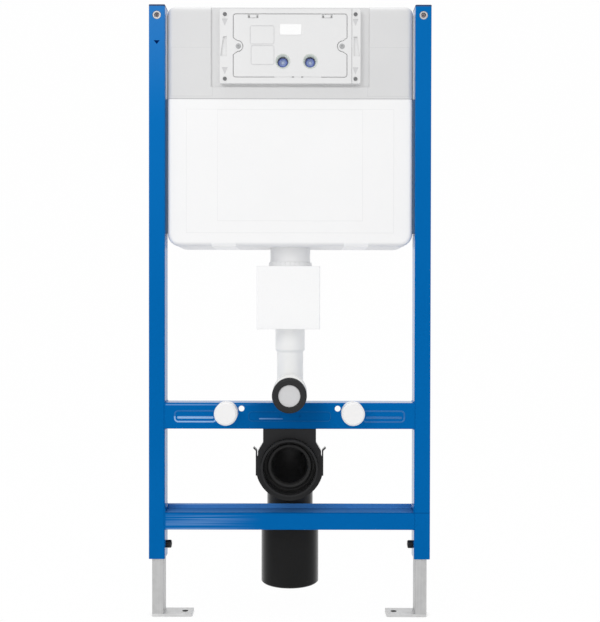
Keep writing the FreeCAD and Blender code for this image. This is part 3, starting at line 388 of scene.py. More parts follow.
WELD_RADIUS = 0.0019
WELD_INSET = 0.004
SEAM_RADIUS = 0.0012
SEAM_SUNK = 0.0009
welds = []
for rail in ("pan_rail", "lower_rail"):
    low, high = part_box(rail)
    for end_x in (low.x, high.x):
        for level in (low.z, high.z):
            ends = [(end_x, y, level) for y in (low.y + WELD_INSET, high.y - WELD_INSET)]
            welds.append(weld_run(*ends, WELD_RADIUS))
        ends = [(end_x, low.y + SEAM_SUNK, level) for level in (low.z, high.z)]
        welds.append(weld_run(*ends, SEAM_RADIUS))
piece("rail_welds", welds, blue_paint)

# Wall ties and wall plates
# A steel sleeve passes through each post near its top, and a threaded rod runs from it to a flat plate.
# Nuts lock the rod at both ends, and a socket screw sits in the front of the sleeve. All is zinc plated.
ZINC_GREYS = ((172, 172, 172), (206, 206, 206))
ZINC_STAIN = (150, 150, 150)
ZINC_CLOUD = (14.0, 3.0)
ZINC_STAINED = (0.4, 0.8)
ZINC_ROUNDING = 0.001
ZINC_RELIEF = 0.00011
HOLE_SHADE_GREY = (24, 24, 24)
HOLE_REACH = 0.012
HOLE_LEVELS = (0.5, 0.95)


def zinc_finish(name, crystals, grain_scales, spangle=0.55, dull=0.34, greys=ZINC_GREYS, painted_hole_shade=False):
    """Zinc on steel: each crystal is a cell with its own grey and gloss, over fine drawn lines.
    It can be dull, and its holes are painted dark as painted shade where the open part of the sky is small."""
    material, where = new_finish(name)
    cells = where.node("ShaderNodeTexVoronoi", {}, {"Vector": where, "Scale": crystals}, "Color")
    crystal = parts_of(cells)[0]
    lines = drawn_noise(where, grain_scales, 3.0)
    cloud = noise(where, *ZINC_CLOUD)
    plain = (spangle * crystal + (1 - spangle) * lines).tint(*greys)
    colour = (0.2 * spangle * cloud.rise(*ZINC_STAINED)).tint(plain, ZINC_STAIN)
    # Painted shade: holes are darkened where little of the sky is open.
    if painted_hole_shade:
        colour = openness(where, HOLE_REACH, {"only_local": True}).rise(*HOLE_LEVELS).tint(HOLE_SHADE_GREY, colour)
    relief = lines + 0.3 * crystal
    close_finish(where, {
        "Base Color": colour,
        "Metallic": 0.7 + 0.2 * crystal,
        "Roughness": dull + spangle * (0.3 * crystal + 0.2 * lines),
        "Normal": bump(relief, ZINC_RELIEF * spangle, soft_normal(where, ZINC_ROUNDING)),
    })
    return material


bright_zinc = zinc_finish("bright_zinc", 900.0, (700.0, 200.0, 700.0))
dress(bright_zinc, *both("wall_tie"), *both("wall_plate"))
HEXAGON = 6
FINE_ROUND = 36
THREAD_STEPS = 28
THREAD_ROWS = 8


def round_points(turn):
    """Points at these angles on a circle of radius 1."""
    return np.stack([np.cos(turn), np.sin(turn)], axis=-1)


def placed(flat, along, centre, direction, ring=False):
    """Patch of points that lie sideways, upwards and along a direction from a centre."""
    side, up, out = facing(direction)
    return patch(np.array(centre) + flat[..., :1] * side + flat[..., 1:] * up + along[..., None] * out, ring)


def turned(profile, centre, direction, steps=48, ring=False):
    """Turned form: every (radius, distance) of the profile becomes a circle about the axis.
    With six steps the circles are hexagons."""
    radius, along = np.array(profile).T
    flat = radius[:, None, None] * round_points(circle(steps))
    return placed(flat, along[:, None], centre, direction, ring)


def stacked(outlines, heights, centre, direction, ring=False):
    """Form of closed outlines, one above another, each at its own height over a face."""
    return placed(np.stack(outlines), np.array(heights)[:, None], centre, direction, ring)


def thread(root, crest, pitch, centre, direction, length):
    """Screw thread: the radius is a zigzag of the distance in pitches less the part of a turn."""
    turn = circle(THREAD_STEPS)[None, :]
    along = np.linspace(0, length, int(THREAD_ROWS * length / pitch))[:, None]
    phase = (along / pitch - turn / (2 * np.pi)) % 1
    radius = root + (crest - root) * (1 - np.abs(2 * phase - 1))
    return placed(radius[..., None] * round_points(turn), along, centre, direction)


TO_FRONT = (0, -1, 0)
TO_WALL = (0, 1, 0)
TIE_THREAD = (0.0049, 0.0055, 0.0015)
TIE_COLLAR_END = 0.007
TIE_NUT = [(0.007964, 0.0), (0.0095, 0.00096), (0.0095, 0.00704), (0.007964, 0.008)]
TIE_NUT_WASHER = [(0.0076, 0.00704), (0.0076, 0.0083), (0.0055, 0.0083)]
TIE_SCREW_DEPTH = 0.0052
TIE_SCREW = [(0.0047, -0.008), (0.0047, -0.0004), (0.0043, 0.0), (0.0026, 0.0), (0.00234, -0.0035),
             (0.00078, -0.0045)]
tie_parts = []
tie_screws = []
for side_name in SIDES:
    tie_x = middle(side_name + "_wall_tie")[0]
    plate_front = (tie_x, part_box(side_name + "_wall_plate")[0].y, 0)
    rod_start = (tie_x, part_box(side_name + "_post")[1].y + TIE_COLLAR_END, 0)
    tie_parts.append(thread(*TIE_THREAD, rod_start, TO_WALL, plate_front[1] - rod_start[1]))
    for nut_place, direction in ((plate_front, TO_FRONT), (rod_start, TO_WALL)):
        tie_parts.append(turned(TIE_NUT, nut_place, direction, HEXAGON))
        tie_parts.append(turned(TIE_NUT_WASHER, nut_place, direction, FINE_ROUND))
    screw_face = (tie_x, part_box(side_name + "_wall_tie")[0].y + TIE_SCREW_DEPTH, 0)
    tie_screws.append(turned(TIE_SCREW, screw_face, TO_FRONT, FINE_ROUND))
piece("tie_threads", tie_parts, bright_zinc)

BRONZE_LIGHT = (196, 188, 190)
BRONZE_DARK = (140, 130, 134)
TARNISH = (420.0, 3.0)
TARNISH_HEIGHT = 0.00005
TARNISH_ROUNDING = 0.0004
passivated, where = new_finish("passivated_screw")
tarnish = noise(where, *TARNISH)
close_finish(where, {
    "Base Color": tarnish.tint(BRONZE_DARK, BRONZE_LIGHT),
    "Metallic": 0.8,
    "Roughness": 0.3 + 0.25 * tarnish,
    "Normal": bump(tarnish, TARNISH_HEIGHT, soft_normal(where, TARNISH_ROUNDING)),
})
piece("tie_end_screws", tie_screws, passivated)

# Telescopic legs and feet
# Rectangular tubes slide in the posts. A flat foot with a hole for the floor screw is welded under each.
# Tube and foot are hot dip galvanised after welding, which leaves crystals and a soft grey sheen.
DIPPED_CRYSTALS = 120.0
LEG_SCALES = (500.0, 500.0, 8.0)
FOOT_SCALES = (30.0, 700.0, 700.0)
# The feet take paler greys than the legs: painted light from above on them.
FOOT_PAINTED_LIGHT_GREYS = ((188, 188, 188), (224, 224, 224))
dipped_zinc = zinc_finish("dipped_zinc", DIPPED_CRYSTALS, LEG_SCALES, 0.2, 0.42)
dress(dipped_zinc, *both("leg"))
foot_zinc = zinc_finish("foot_zinc", DIPPED_CRYSTALS, FOOT_SCALES, 0.2, 0.42, FOOT_PAINTED_LIGHT_GREYS, True)
dress(foot_zinc, *both("foot"))

FOOT_WELD_RADIUS = 0.0016
FOOT_WELD_INSET = 0.002
for side_name in SIDES:
    low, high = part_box(side_name + "_leg")
    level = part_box(side_name + "_foot")[1].z
    inner_x = high.x if side_name == "left" else low.x
    inner_run = [(inner_x, y, level) for y in (low.y + FOOT_WELD_INSET, high.y - FOOT_WELD_INSET)]
    back_run = [(x, high.y, level) for x in (low.x + FOOT_WELD_INSET, high.x - FOOT_WELD_INSET)]
    foot_welds = [weld_run(*ends, FOOT_WELD_RADIUS) for ends in (inner_run, back_run)]
    piece(side_name + "_foot_welds", foot_welds, dipped_zinc, side_name + "_leg")

# Leg bushes and clamp bolts
# A black plastic bush in the end of each post guides the leg, and a black socket head bolt clamps it.
# The bolt's head is knurled so that it can be run in by hand before it is tightened.
BLACK_TONES = ((41, 41, 42), (58, 59, 61))
BLACK_FLOW = (16.0, 3.0)
BLACK_ROUNDING = 0.0012
BLACK_RUBBED = (0.03, 0.4)
BLACK_GLANCE = (0.38, 0.85)
PLASTIC_GRAIN = (1500.0, 0.00006)
HOLLOW_LIGHT_GREY = (150, 150, 152)
HOLLOW_REACH = 0.2
HOLLOW_LEVELS = (0.02, 0.14)


def black_finish(name, tones, roughness, grain, hollow_light=0.0):
    """Black moulded plastic: grain of a scale and height, flow marks, paler rubbed edges, and painted light
    that makes sheltered places paler."""
    material, where = new_finish(name)
    grain_scale, grain_height = grain
    fine = noise(where, grain_scale, 2.0)
    flow = noise(where, *BLACK_FLOW)
    rounded = soft_normal(where, BLACK_ROUNDING)
    rubbed = edge_wear(rounded).rise(*BLACK_RUBBED)
    colour = (0.18 * flow + 0.5 * rubbed * fine).tint(*tones)
    # Painted light: sheltered hollows, such as the bore of the bend, are tinted paler.
    if hollow_light:
        sheltered = 1 - openness(where, HOLLOW_REACH).rise(*HOLLOW_LEVELS)
        colour = (hollow_light * sheltered).tint(colour, HOLLOW_LIGHT_GREY)
    close_finish(where, {
        "Base Color": colour,
        "Roughness": roughness + 0.15 * fine + 0.08 * flow,
        "Specular IOR Level": 0.14,
        "Coat Weight": 0.6 * glancing(where, *BLACK_GLANCE),
        "Coat Roughness": 0.16,
        "Normal": bump(fine, grain_height, rounded),
    })
    return material


black_plastic = black_finish("black_plastic", BLACK_TONES, 0.3, PLASTIC_GRAIN)
dress(black_plastic, *both("leg_bush"))

BOLT_TONES = ((26, 27, 29), (104, 106, 110))
BOLT_GRAIN = (900.0, 0.00005)
black_steel = black_finish("oiled_black_steel", BOLT_TONES, 0.28, BOLT_GRAIN)
dress(black_steel, *both("clamp_bolt"))

KNURL_LENGTH = 0.0085
KNURL_START = 0.0004
KNURL_DEPTH = 0.0003
KNURL_TEETH = 40
KNURL_ROWS = 22
KNURL_FADE = 8
STEPS_PER_TOOTH = 6
CLAMP_HEAD_RADIUS = 0.007


def knurl(centre, direction):
    """Knurled band: two sets of ridges wind opposite ways, and the radius takes the higher of them."""
    turn = circle(STEPS_PER_TOOTH * KNURL_TEETH)[None, :]
    along = np.linspace(0, KNURL_LENGTH, KNURL_ROWS)[:, None]
    wind = 0.5 * KNURL_TEETH * along / CLAMP_HEAD_RADIUS
    ridges = np.maximum(np.cos(KNURL_TEETH * turn + wind), np.cos(KNURL_TEETH * turn - wind))
    fade = np.clip(KNURL_FADE * np.minimum(along, KNURL_LENGTH - along) / KNURL_LENGTH, 0, 1)
    crest = CLAMP_HEAD_RADIUS + KNURL_DEPTH * fade * np.clip(ridges, 0, 1)
    return placed(crest[..., None] * round_points(turn), along, centre, direction)


post_faces = ((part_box("left_post")[1].x, 1), (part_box("right_post")[0].x, -1))
for side_name, (face_x, inward) in zip(SIDES, post_faces):
    bolt_y, bolt_z = middle(side_name + "_clamp_bolt")[1:]
    band = knurl((face_x + inward * KNURL_START, bolt_y, bolt_z), (inward, 0, 0))
    piece(side_name + "_bolt_knurl", [band], black_steel)

# Cistern body and cover
# The white shell and the grey cover over its mouth are moulded in tough plastic and snap together.
# Low panels stiffen their flat faces. Clips hold the seam at the back, and plugs close spare inlets.
MM = 0.001
MOULD_GRAIN = (1300.0, 2.0)
MOULD_GRAIN_HEIGHT = 0.00003
MOULD_FLOW = (6.0, 3.0)
FACE_DEPTH = (0.0008, 0.0016)


def rectangle(across, height, span_x, span_z, blur):
    """1 inside an upright rectangle, falling to 0 over a blur outside it."""
    return across.between(*span_x, blur) * height.between(*span_z, blur)


def on_front(depth, face):
    """1 on a face that looks forward, and 0 behind it."""
    return 1 - depth.rise(*span(face, FACE_DEPTH))


def moulded(name, tones, roughness, relief=None, rounding=0.0014):
    """Pale moulded plastic with grain, faint flow marks and rounded edges. The relief takes the parts of
    a place and gives how far the face stands out there, in millimetres, and how much darker it is."""
    material, where = new_finish(name)
    grain = noise(where, *MOULD_GRAIN)
    flow = noise(where, *MOULD_FLOW)
    normal = bump(grain, MOULD_GRAIN_HEIGHT, soft_normal(where, rounding))
    darker = 0.3 * flow + 0.12 * grain
    if relief:
        raised, shaded = relief(*parts_of(where))
        normal = bump(raised, MM, normal)
        darker = darker + shaded
    close_finish(where, {
        "Base Color": darker.tint(*tones),
        "Roughness": roughness + 0.1 * grain,
        "Specular IOR Level": 0.3,
        "Normal": normal,
    })
    return material


body_low, body_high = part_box("cistern_body")
cover_low, cover_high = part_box("cistern_cover")
tank_middle = middle("cistern_cover")[0]
SHELL_TONES = ((252, 252, 252), (232, 232, 233))
COVER_TONES = ((228, 228, 228), (188, 188, 190))
OUTER_PANEL = (0.190, -0.396, -0.170)
INNER_PANEL = (0.133, -0.374, -0.171)
BACK_PANEL = (0.175, -0.385, -0.262)
SIDE_PANEL = ((0.142, 0.218), (-0.146, -0.057))
PANEL_PROUD = 0.16
PANEL_BLUR = 0.0013
PANEL_LINE = 0.0008
PAD_BESIDE = 0.1215
PAD_HALF = 0.022
SEAM_LINE = 0.0016
FOOT_SHADE = (0.002, 0.009)


def painted_outline_shade(across, height, span_x, span_z):
    """1 on the outline of an upright rectangle, where the shade at the foot of its step is painted."""
    inner_x = (span_x[0] + PANEL_LINE, span_x[1] - PANEL_LINE)
    inner_z = (span_z[0] + PANEL_LINE, span_z[1] - PANEL_LINE)
    outside = rectangle(across, height, span_x, span_z, PANEL_LINE)
    return outside - rectangle(across, height, inner_x, inner_z, PANEL_LINE)


def shell_relief(across, depth, height):
    """Two low panels on the front, one inside the other, and one on the back under the strap.
    Painted shade darkens the panel outlines, the shell just under the cover seam, and the rounded foot but
    for its two pads."""
    beside = abs(across - tank_middle)
    front = on_front(depth, body_low.y)
    back = depth.rise(body_high.y - FACE_DEPTH[1], body_high.y - FACE_DEPTH[0])
    raised = 0.0
    # Painted shade on the shell just under the cover seam, and on the panel outlines.
    lines = 0.5 * height.rise(cover_low.z - SEAM_LINE, cover_low.z)
    for (half, *levels), face in ((OUTER_PANEL, front), (INNER_PANEL, front), (BACK_PANEL, back)):
        raised = raised + PANEL_PROUD * face * rectangle(beside, height, (-half, half), levels, PANEL_BLUR)
        lines = lines + 0.5 * face * painted_outline_shade(beside, height, (-half, half), levels)
    pads = abs(beside - PAD_BESIDE).rise(PAD_HALF, PAD_HALF + PANEL_LINE)
    # Painted shade on the rounded foot, but for the pads.
    under = 1 - height.rise(*span(body_low.z, FOOT_SHADE))
    return raised, lines + 0.9 * under * pads


def cover_relief(across, depth, height):
    """A low panel on each side of the front with painted shade on its outline, and a painted shade line
    where the cover meets the shell.
    """
    beside = abs(across - tank_middle)
    front = on_front(depth, cover_low.y)
    panel = rectangle(beside, height, *SIDE_PANEL, PANEL_BLUR)
    lines = painted_outline_shade(beside, height, *SIDE_PANEL)
    # Painted shade line along the seam.
    seam = 1 - height.rise(cover_low.z + 0.5 * SEAM_LINE, cover_low.z + SEAM_LINE)
    return PANEL_PROUD * front * panel, 0.25 * front * lines + 1.2 * seam


shell_white = moulded("white_shell", SHELL_TONES, 0.34, shell_relief)
cover_grey = moulded("grey_cover", COVER_TONES, 0.42, cover_relief)
dress(shell_white, "cistern_body")
dress(cover_grey, "cistern_cover")
CORNER_STEPS = 6
CORNER_SIGNS = ((1, 1), (-1, 1), (-1, -1), (1, -1))
LEAST_CORNER = 0.2


def rounded_outline(width, height, corner):
    """Rectangle with rounded corners: quarter circles about four points, joined by straight sides."""
    turn = np.linspace(0, np.pi / 2, CORNER_STEPS)
    reach = np.array([width / 2 - corner, height / 2 - corner])
    quarters = [reach * np.array(signs) + corner * round_points(turn + number * np.pi / 2)
                for number, signs in enumerate(CORNER_SIGNS)]
    return np.concatenate(quarters)


def plate(width, height, corner, thickness, edge, centre, direction):
    """Flat plate on a face: a rounded rectangle that is drawn in by an edge at its top."""
    outline = rounded_outline(width, height, corner)
    top = rounded_outline(width - 2 * edge, height - 2 * edge, max(corner - edge, LEAST_CORNER * corner))
    return stacked([outline, outline, top], (-edge, thickness - edge, thickness), centre, direction)


UP = (0, 0, 1)
CLIP_SIZE = (0.032, 0.020, 0.003, 0.0024, 0.0004)
CLIP_SPACING = 0.130
INLET_PLUG = [(0.0165, -0.0005), (0.0165, 0.0016), (0.0159, 0.0022), (0.0128, 0.0022), (0.0124, 0.0012),
              (0.0062, 0.0012), (0.0058, 0.002), (0.0006, 0.002)]
INLET_BESIDE = 0.170
INLET_BELOW_TOP = 0.050
seam_clips = []
inlet_plugs = []
for step in (-1, 0, 1):
    clip_place = (tank_middle + step * CLIP_SPACING, cover_high.y, cover_low.z)
    seam_clips.append(plate(*CLIP_SIZE, clip_place, TO_WALL))
for side in (-1, 1):
    plug_x = tank_middle + side * INLET_BESIDE
    inlet_plugs.append(turned(INLET_PLUG, (plug_x, cover_high.y, cover_high.z - INLET_BELOW_TOP), TO_WALL))
    inlet_plugs.append(turned(INLET_PLUG, (plug_x, middle("cistern_cover")[1], cover_high.z), UP))
piece("seam_clips", seam_clips, cover_grey)
piece("inlet_plugs", inlet_plugs, shell_white)

# Cistern strap
# A strip of zinc plated steel is folded round the back of the shell, whose lugs rest on its edge.
# Its ends lie on the backs of the posts, and a hexagon screw with a washer face holds each end.
STRAP_CRYSTALS = 420.0
STRAP_SCALES = (40.0, 900.0, 900.0)
STRAP_THICKNESS = 0.0025
STRAP_WASHER = [(0.0082, -0.0004), (0.0082, 0.0008), (0.0076, 0.0014), (0.0058, 0.0014)]
STRAP_HEXAGON = [(0.0058, 0.001), (0.0058, 0.004816), (0.0047024, 0.0056), (0.003056, 0.0056),
                 (0.002664, 0.0051296)]
dress(zinc_finish("strap_zinc", STRAP_CRYSTALS, STRAP_SCALES, 0.1, 0.05), "cistern_strap")
strap_screws = []
for post in both("post"):
    screw_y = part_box(post)[1].y + STRAP_THICKNESS
    screw_place = (middle(post)[0], screw_y, middle("cistern_strap")[2])
    strap_screws.append(turned(STRAP_WASHER, screw_place, TO_WALL))
    strap_screws.append(turned(STRAP_HEXAGON, screw_place, TO_WALL, HEXAGON))
piece("strap_screws", strap_screws, bright_zinc)

# Side strips
# Strips fill the gaps between the posts and the cistern.
# Beside the shell they are dark blue grey, painted shade for the gap; further up they take the cover's own
# grey.
STRIP_SET_BACK = 0.004
STRIP_WIDTH = 0.012
STRIP_SQUEEZE = 0.0002
STRIP_EDGE = 0.0004
SHELL_GAP = 0.0035
COVER_GAP = 0.0025
SHELL_CORNER = 0.024
COVER_CORNER = 0.016
# The strips beside the shell are dark: painted shade in the gap.
GAP_SHADE_TONES = ((92, 114, 138), (128, 146, 166))
STRIP_GRAIN = (700.0, 0.00012)
gap_shade_finish = black_finish("gap_shade_blue_grey", GAP_SHADE_TONES, 0.6, STRIP_GRAIN)
shell_span = (body_low.z + SHELL_CORNER, cover_low.z)
cover_span = (cover_low.z, cover_high.z - COVER_CORNER)
beside_shell = ("shell_strips", body_low.y, SHELL_GAP, shell_span, gap_shade_finish, "black_rubber")
beside_cover = ("cover_strips", cover_low.y, COVER_GAP, cover_span, cover_grey, "grey_cover")
for name, front, gap, (bottom, top), material, slot in (beside_shell, beside_cover):
    strip_size = (STRIP_WIDTH, top - bottom, STRIP_EDGE, gap + STRIP_SQUEEZE, STRIP_EDGE / 2)
    strips = []
    for face_x, inward in post_faces:
        strip_place = (face_x, front + STRIP_SET_BACK + STRIP_WIDTH / 2, (bottom + top) / 2)
        strips.append(plate(*strip_size, strip_place, (inward, 0, 0)))
    piece(name, strips, material)

# Service frame and cover
# A pale frame is screwed into the recess of the cistern cover, and a plate lies in its pocket.
# The plate is held by two screws in its side bays and clipped at its edges. Its labels are left bare.
frame_low, frame_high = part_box("service_frame")
lid_low, lid_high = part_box("service_cover")
service_middle = middle("service_frame")[0]
FRAME_SCREW_FROM_SIDE = 0.0094
FRAME_SCREW_FROM_TOP = 0.0097
FRAME_SCREW_FROM_BOTTOM = 0.0084
ARROW_SIZE = (0.0052, 0.0125, 0.0006)
ARROW_TOPS = (-0.0073, -0.0955)
FIELD_INSET = 0.0085
FIELD_BLUR = 0.0008
PALE_TONES = ((238, 238, 238), (208, 208, 209))
arrow_beside = frame_high.x - FRAME_SCREW_FROM_SIDE - service_middle


def frame_relief(across, depth, height):
    """Sunken arrows that point down, two on each side of the frame."""
    beside = abs(across - service_middle) - arrow_beside
    arrows = 0.0
    for top in ARROW_TOPS:
        arrows = arrows + on_front(depth, frame_low.y) * triangle(beside, top - height, *ARROW_SIZE)
    return -0.4 * arrows, 0.85 * arrows


def lid_relief(across, depth, height):
    """A field that stands out a little inside the edge of the plate."""
    span_x = (lid_low.x + FIELD_INSET, lid_high.x - FIELD_INSET)
    span_z = (lid_low.z + FIELD_INSET, lid_high.z - FIELD_INSET)
    return 0.1 * on_front(depth, lid_low.y) * rectangle(across, height, span_x, span_z, FIELD_BLUR), 0.0


dress(moulded("service_frame_pale", PALE_TONES, 0.36, frame_relief), "service_frame")
lid_pale = moulded("service_cover_pale", PALE_TONES, 0.32, lid_relief)
dress(lid_pale, "service_cover")

SCREW_TONES = ((120, 121, 122), (176, 177, 178))
SCREW_GRAIN = (900.0, 0.00004)
HEAD_RADIUS = 0.0036
HEAD_DISC = [(HEAD_RADIUS, -0.0006), (HEAD_RADIUS, 0.00048), (0.7 * HEAD_RADIUS, 0.000504)]
HEAD_STEPS = 28
HALF_STEPS = 16
HALF_LEVELS = (0.00036, 0.00096, 0.0012)
HALF_TOP = 0.86
SLOT_HALF = 0.0007
SLOT_TILT = math.radians(35)


def slotted_head(centre):
    """Screw head with a slot: a disc that carries two parts of a circle, each cut off by a straight side."""
    parts = [turned(HEAD_DISC, centre, TO_FRONT, HEAD_STEPS)]
    cut = math.asin(SLOT_HALF / HEAD_RADIUS)
    for start in (SLOT_TILT, SLOT_TILT + np.pi):
        rim = HEAD_RADIUS * round_points(start + np.linspace(cut, np.pi - cut, HALF_STEPS))
        inner = rim.mean(axis=0)
        parts.append(stacked([rim, rim, inner + HALF_TOP * (rim - inner)], HALF_LEVELS, centre, TO_FRONT))
    return parts


screw_grey = black_finish("dull_screw", SCREW_TONES, 0.34, SCREW_GRAIN)
corner_screws = []
for screw_x in (frame_low.x + FRAME_SCREW_FROM_SIDE, frame_high.x - FRAME_SCREW_FROM_SIDE):
    for screw_z in (frame_high.z - FRAME_SCREW_FROM_TOP, frame_low.z + FRAME_SCREW_FROM_BOTTOM):
        corner_screws.extend(slotted_head((screw_x, frame_low.y, screw_z)))
piece("service_frame_screws", corner_screws, screw_grey)

BAY_SCREW_REACH = 0.0085
BAY_SCREW = [(0.0048, -0.0006), (0.0048, 0.0005), (0.0043, 0.0009), (0.0016, 0.001), (0.0014, 0.0004),
             (0.0003, 0.0004)]
BAY_STEPS = 32
BAY_TONES = ((182, 183, 184), (150, 151, 152))
bay_z = middle("service_frame")[2]
bay_screws = [turned(BAY_SCREW, (bay_x, frame_low.y, bay_z), TO_FRONT, BAY_STEPS)
              for bay_x in (lid_low.x + BAY_SCREW_REACH, lid_high.x - BAY_SCREW_REACH)]
piece("bay_screws", bay_screws, moulded("bay_screw_grey", BAY_TONES, 0.4))

LID_THICKNESS = 0.003
TONGUE_BESIDE = 0.0675
TONGUE_SIZE = (0.0142, 0.0062, 0.0012, 0.0024, 0.0003)
BRIDGE_SIZE = (0.086, 0.0018, 0.0004, 0.00288, 0.0001)
BRIDGE_X = 0.2573
BRIDGE_BELOW = 0.0006
CATCH_SIZE = (0.0042, 0.0013, 0.0003, 0.0004, 0.0001)
CATCH_PLACES = (0.2483, 0.2653)
CATCH_BELOW = 0.0004
SNAP_SIZE = (0.0014, 0.0036, 0.0003, 0.0004, 0.0001)
SNAP_DROP = 0.0042
pocket_floor = lid_low.y + LID_THICKNESS
clips = []
snaps = []
for side in (-1, 1):
    tongue_x = service_middle + side * TONGUE_BESIDE
    tongue_place = (tongue_x, pocket_floor, lid_high.z - TONGUE_SIZE[1] / 2)
    clips.append(plate(*TONGUE_SIZE, tongue_place, TO_FRONT))
    for end in (-1, 1):
        snap_place = (tongue_x + end * TONGUE_SIZE[0] / 2, lid_low.y, lid_high.z - SNAP_DROP)
        snaps.append(plate(*SNAP_SIZE, snap_place, TO_FRONT))
bridge_place = (BRIDGE_X, pocket_floor, lid_low.z - BRIDGE_BELOW)
clips.append(plate(*BRIDGE_SIZE, bridge_place, TO_FRONT))
piece("service_clips", clips, lid_pale)
catches = [plate(*CATCH_SIZE, (catch_x, lid_low.y, lid_low.z - CATCH_BELOW), TO_FRONT)
           for catch_x in CATCH_PLACES]
piece("service_catches", catches + snaps, screw_grey)

WINDOW = (0.2242, 0.2642, -0.0364, -0.0165)
WINDOW_FORM = (0.0022, 0.0003, 0.0001)
WINDOW_TONES = ((255, 255, 255), (250, 250, 250))
LABELS = ((0.1698, 0.2141, -0.0532, -0.0192), (0.1715, 0.2141, -0.0905, -0.0550))
LABEL_CORNER = 0.004
LABEL_LINE = 0.0009
LABEL_PROUD = 0.00035
LABEL_SUNK = -0.0005
LABEL_TONES = ((226, 226, 227), (196, 196, 198))


def label_place(sides):
    """Middle of a label on the plate, with its width and height."""
    left, right, bottom, top = sides
    return ((left + right) / 2, lid_low.y, (bottom + top) / 2), right - left, top - bottom


place, width, height = label_place(WINDOW)
window = plate(width, height, *WINDOW_FORM, place, TO_FRONT)
window_white = moulded("blank_label_white", WINDOW_TONES, 0.3)
piece("blank_label", [window], window_white)
label_rims = []
for sides in LABELS:
    place, width, height = label_place(sides)
    outer = rounded_outline(width, height, LABEL_CORNER)
    inner = rounded_outline(width - 2 * LABEL_LINE, height - 2 * LABEL_LINE, LABEL_CORNER - LABEL_LINE)
    levels = (LABEL_SUNK, LABEL_PROUD, LABEL_PROUD, LABEL_SUNK)
    label_rims.append(stacked([outer, outer, inner, inner], levels, place, TO_FRONT, ring=True))
piece("label_rims", label_rims, moulded("label_rim_grey", LABEL_TONES, 0.4))

# Flush actuators
# Two blue push rods of clear tinted plastic stand in guide wells of the plate and press the flush valve.
# Each has a thin hexagon on its front end to hold while its length is set, and a paler pin in its socket.
ROD_LIGHT = (190, 208, 246)
ROD_BLUE = (112, 130, 204)
ROD_SWIRL = (260.0, 2.0)
ROD_SWIRL_HEIGHT = 0.00005
ROD_ROUNDING = 0.0008
ROD_DEEPER = (0.0022, 0.0075)
rod_places = []
for name in both("flush_actuator"):
    rod_x, rod_z = middle(name)[::2]
    rod_places.append((rod_x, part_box(name)[0].y, rod_z))
rods_middle = (rod_places[0][0] + rod_places[1][0]) / 2
rods_apart = rod_places[1][0] - rod_places[0][0]


def from_axis(beside, above):
    """Distance from an axis of a place that lies this far beside and above it."""
    return beside.maths("POWER", beside * beside + above * above, 0.5)


rod_blue, where = new_finish("tinted_blue_rod")
across, depth, height = parts_of(where)
outward = from_axis(abs(across - rods_middle) - rods_apart / 2, height - rod_places[0][2])
swirl = noise(where, *ROD_SWIRL)
close_finish(where, {
    "Base Color": (outward.rise(*ROD_DEEPER) + 0.25 * swirl - 0.1).tint(ROD_LIGHT, ROD_BLUE),
    "Roughness": 0.16 + 0.12 * swirl,
    "Specular IOR Level": 0.25,
    "Coat Weight": 0.2,
    "Normal": bump(swirl, ROD_SWIRL_HEIGHT, soft_normal(where, ROD_ROUNDING)),
})
dress(rod_blue, *both("flush_actuator"))

ROD_HEXAGON = [(0.0094, -0.0008), (0.0094, -0.0002), (0.0086, 0.0006), (0.0055, 0.0006), (0.0052, -0.0008)]
ROD_PIN = [(0.0034, -0.0075), (0.0034, -0.0012), (0.0028, -0.0006), (0.0004, -0.0004)]
PIN_STEPS = 28
PIN_TONES = ((206, 218, 246), (168, 184, 226))
pin_pale = moulded("rod_pin_pale", PIN_TONES, 0.3)
for side_name, rod_place in zip(SIDES, rod_places):
    body = side_name + "_actuator"
    pin = turned(ROD_PIN, rod_place, TO_FRONT, PIN_STEPS)
    piece(side_name + "_rod_pin", [pin], pin_pale, body)
    collar = turned(ROD_HEXAGON, rod_place, TO_FRONT, HEXAGON, ring=True)
    piece(side_name + "_rod_hexagon", [collar], rod_blue, body)

WELL_RIM = [(0.0136, -0.0005), (0.0136, 0.0004), (0.0129, 0.0006), (0.0124, 0.0002), (0.0097, -0.0055),
            (0.0097, -0.007), (0.0127, -0.007)]
WELL_STEPS = 56
WELL_TONES = ((222, 228, 222), (190, 198, 190))
rims = [turned(WELL_RIM, (place[0], lid_low.y, place[2]), TO_FRONT, WELL_STEPS, ring=True)
        for place in rod_places]
piece("well_rims", rims, moulded("well_rim_grey", WELL_TONES, 0.3))

# Outlet neck and flush pipe
# A pale moulded neck is clamped under the cistern, and the flush pipe is pushed up into it.
# The pipe is blow moulded, so a fine parting line runs down each side of it.
NECK_TONES = ((250, 250, 250), (226, 226, 227))
PIPE_TONES = ((255, 255, 253), (230, 229, 227))
PIPE_ROUNDING = 0.005
PIPE_LINE = (0.0004, 0.0012)
pipe_middle = middle("flush_pipe")[0]
pipe_axis = middle("insulation_block")[1]


def pipe_relief(across, depth, height):
    """A fine raised line where the two halves of the mould met, down each side of the barrel."""
    return 0.2 * (1 - abs(depth - pipe_axis).rise(*PIPE_LINE)), 0.0


neck_pale = moulded("outlet_neck_pale", NECK_TONES, 0.36)
dress(neck_pale, "outlet_neck")
dress(moulded("flush_pipe_pale", PIPE_TONES, 0.26, pipe_relief, PIPE_ROUNDING), "flush_pipe")

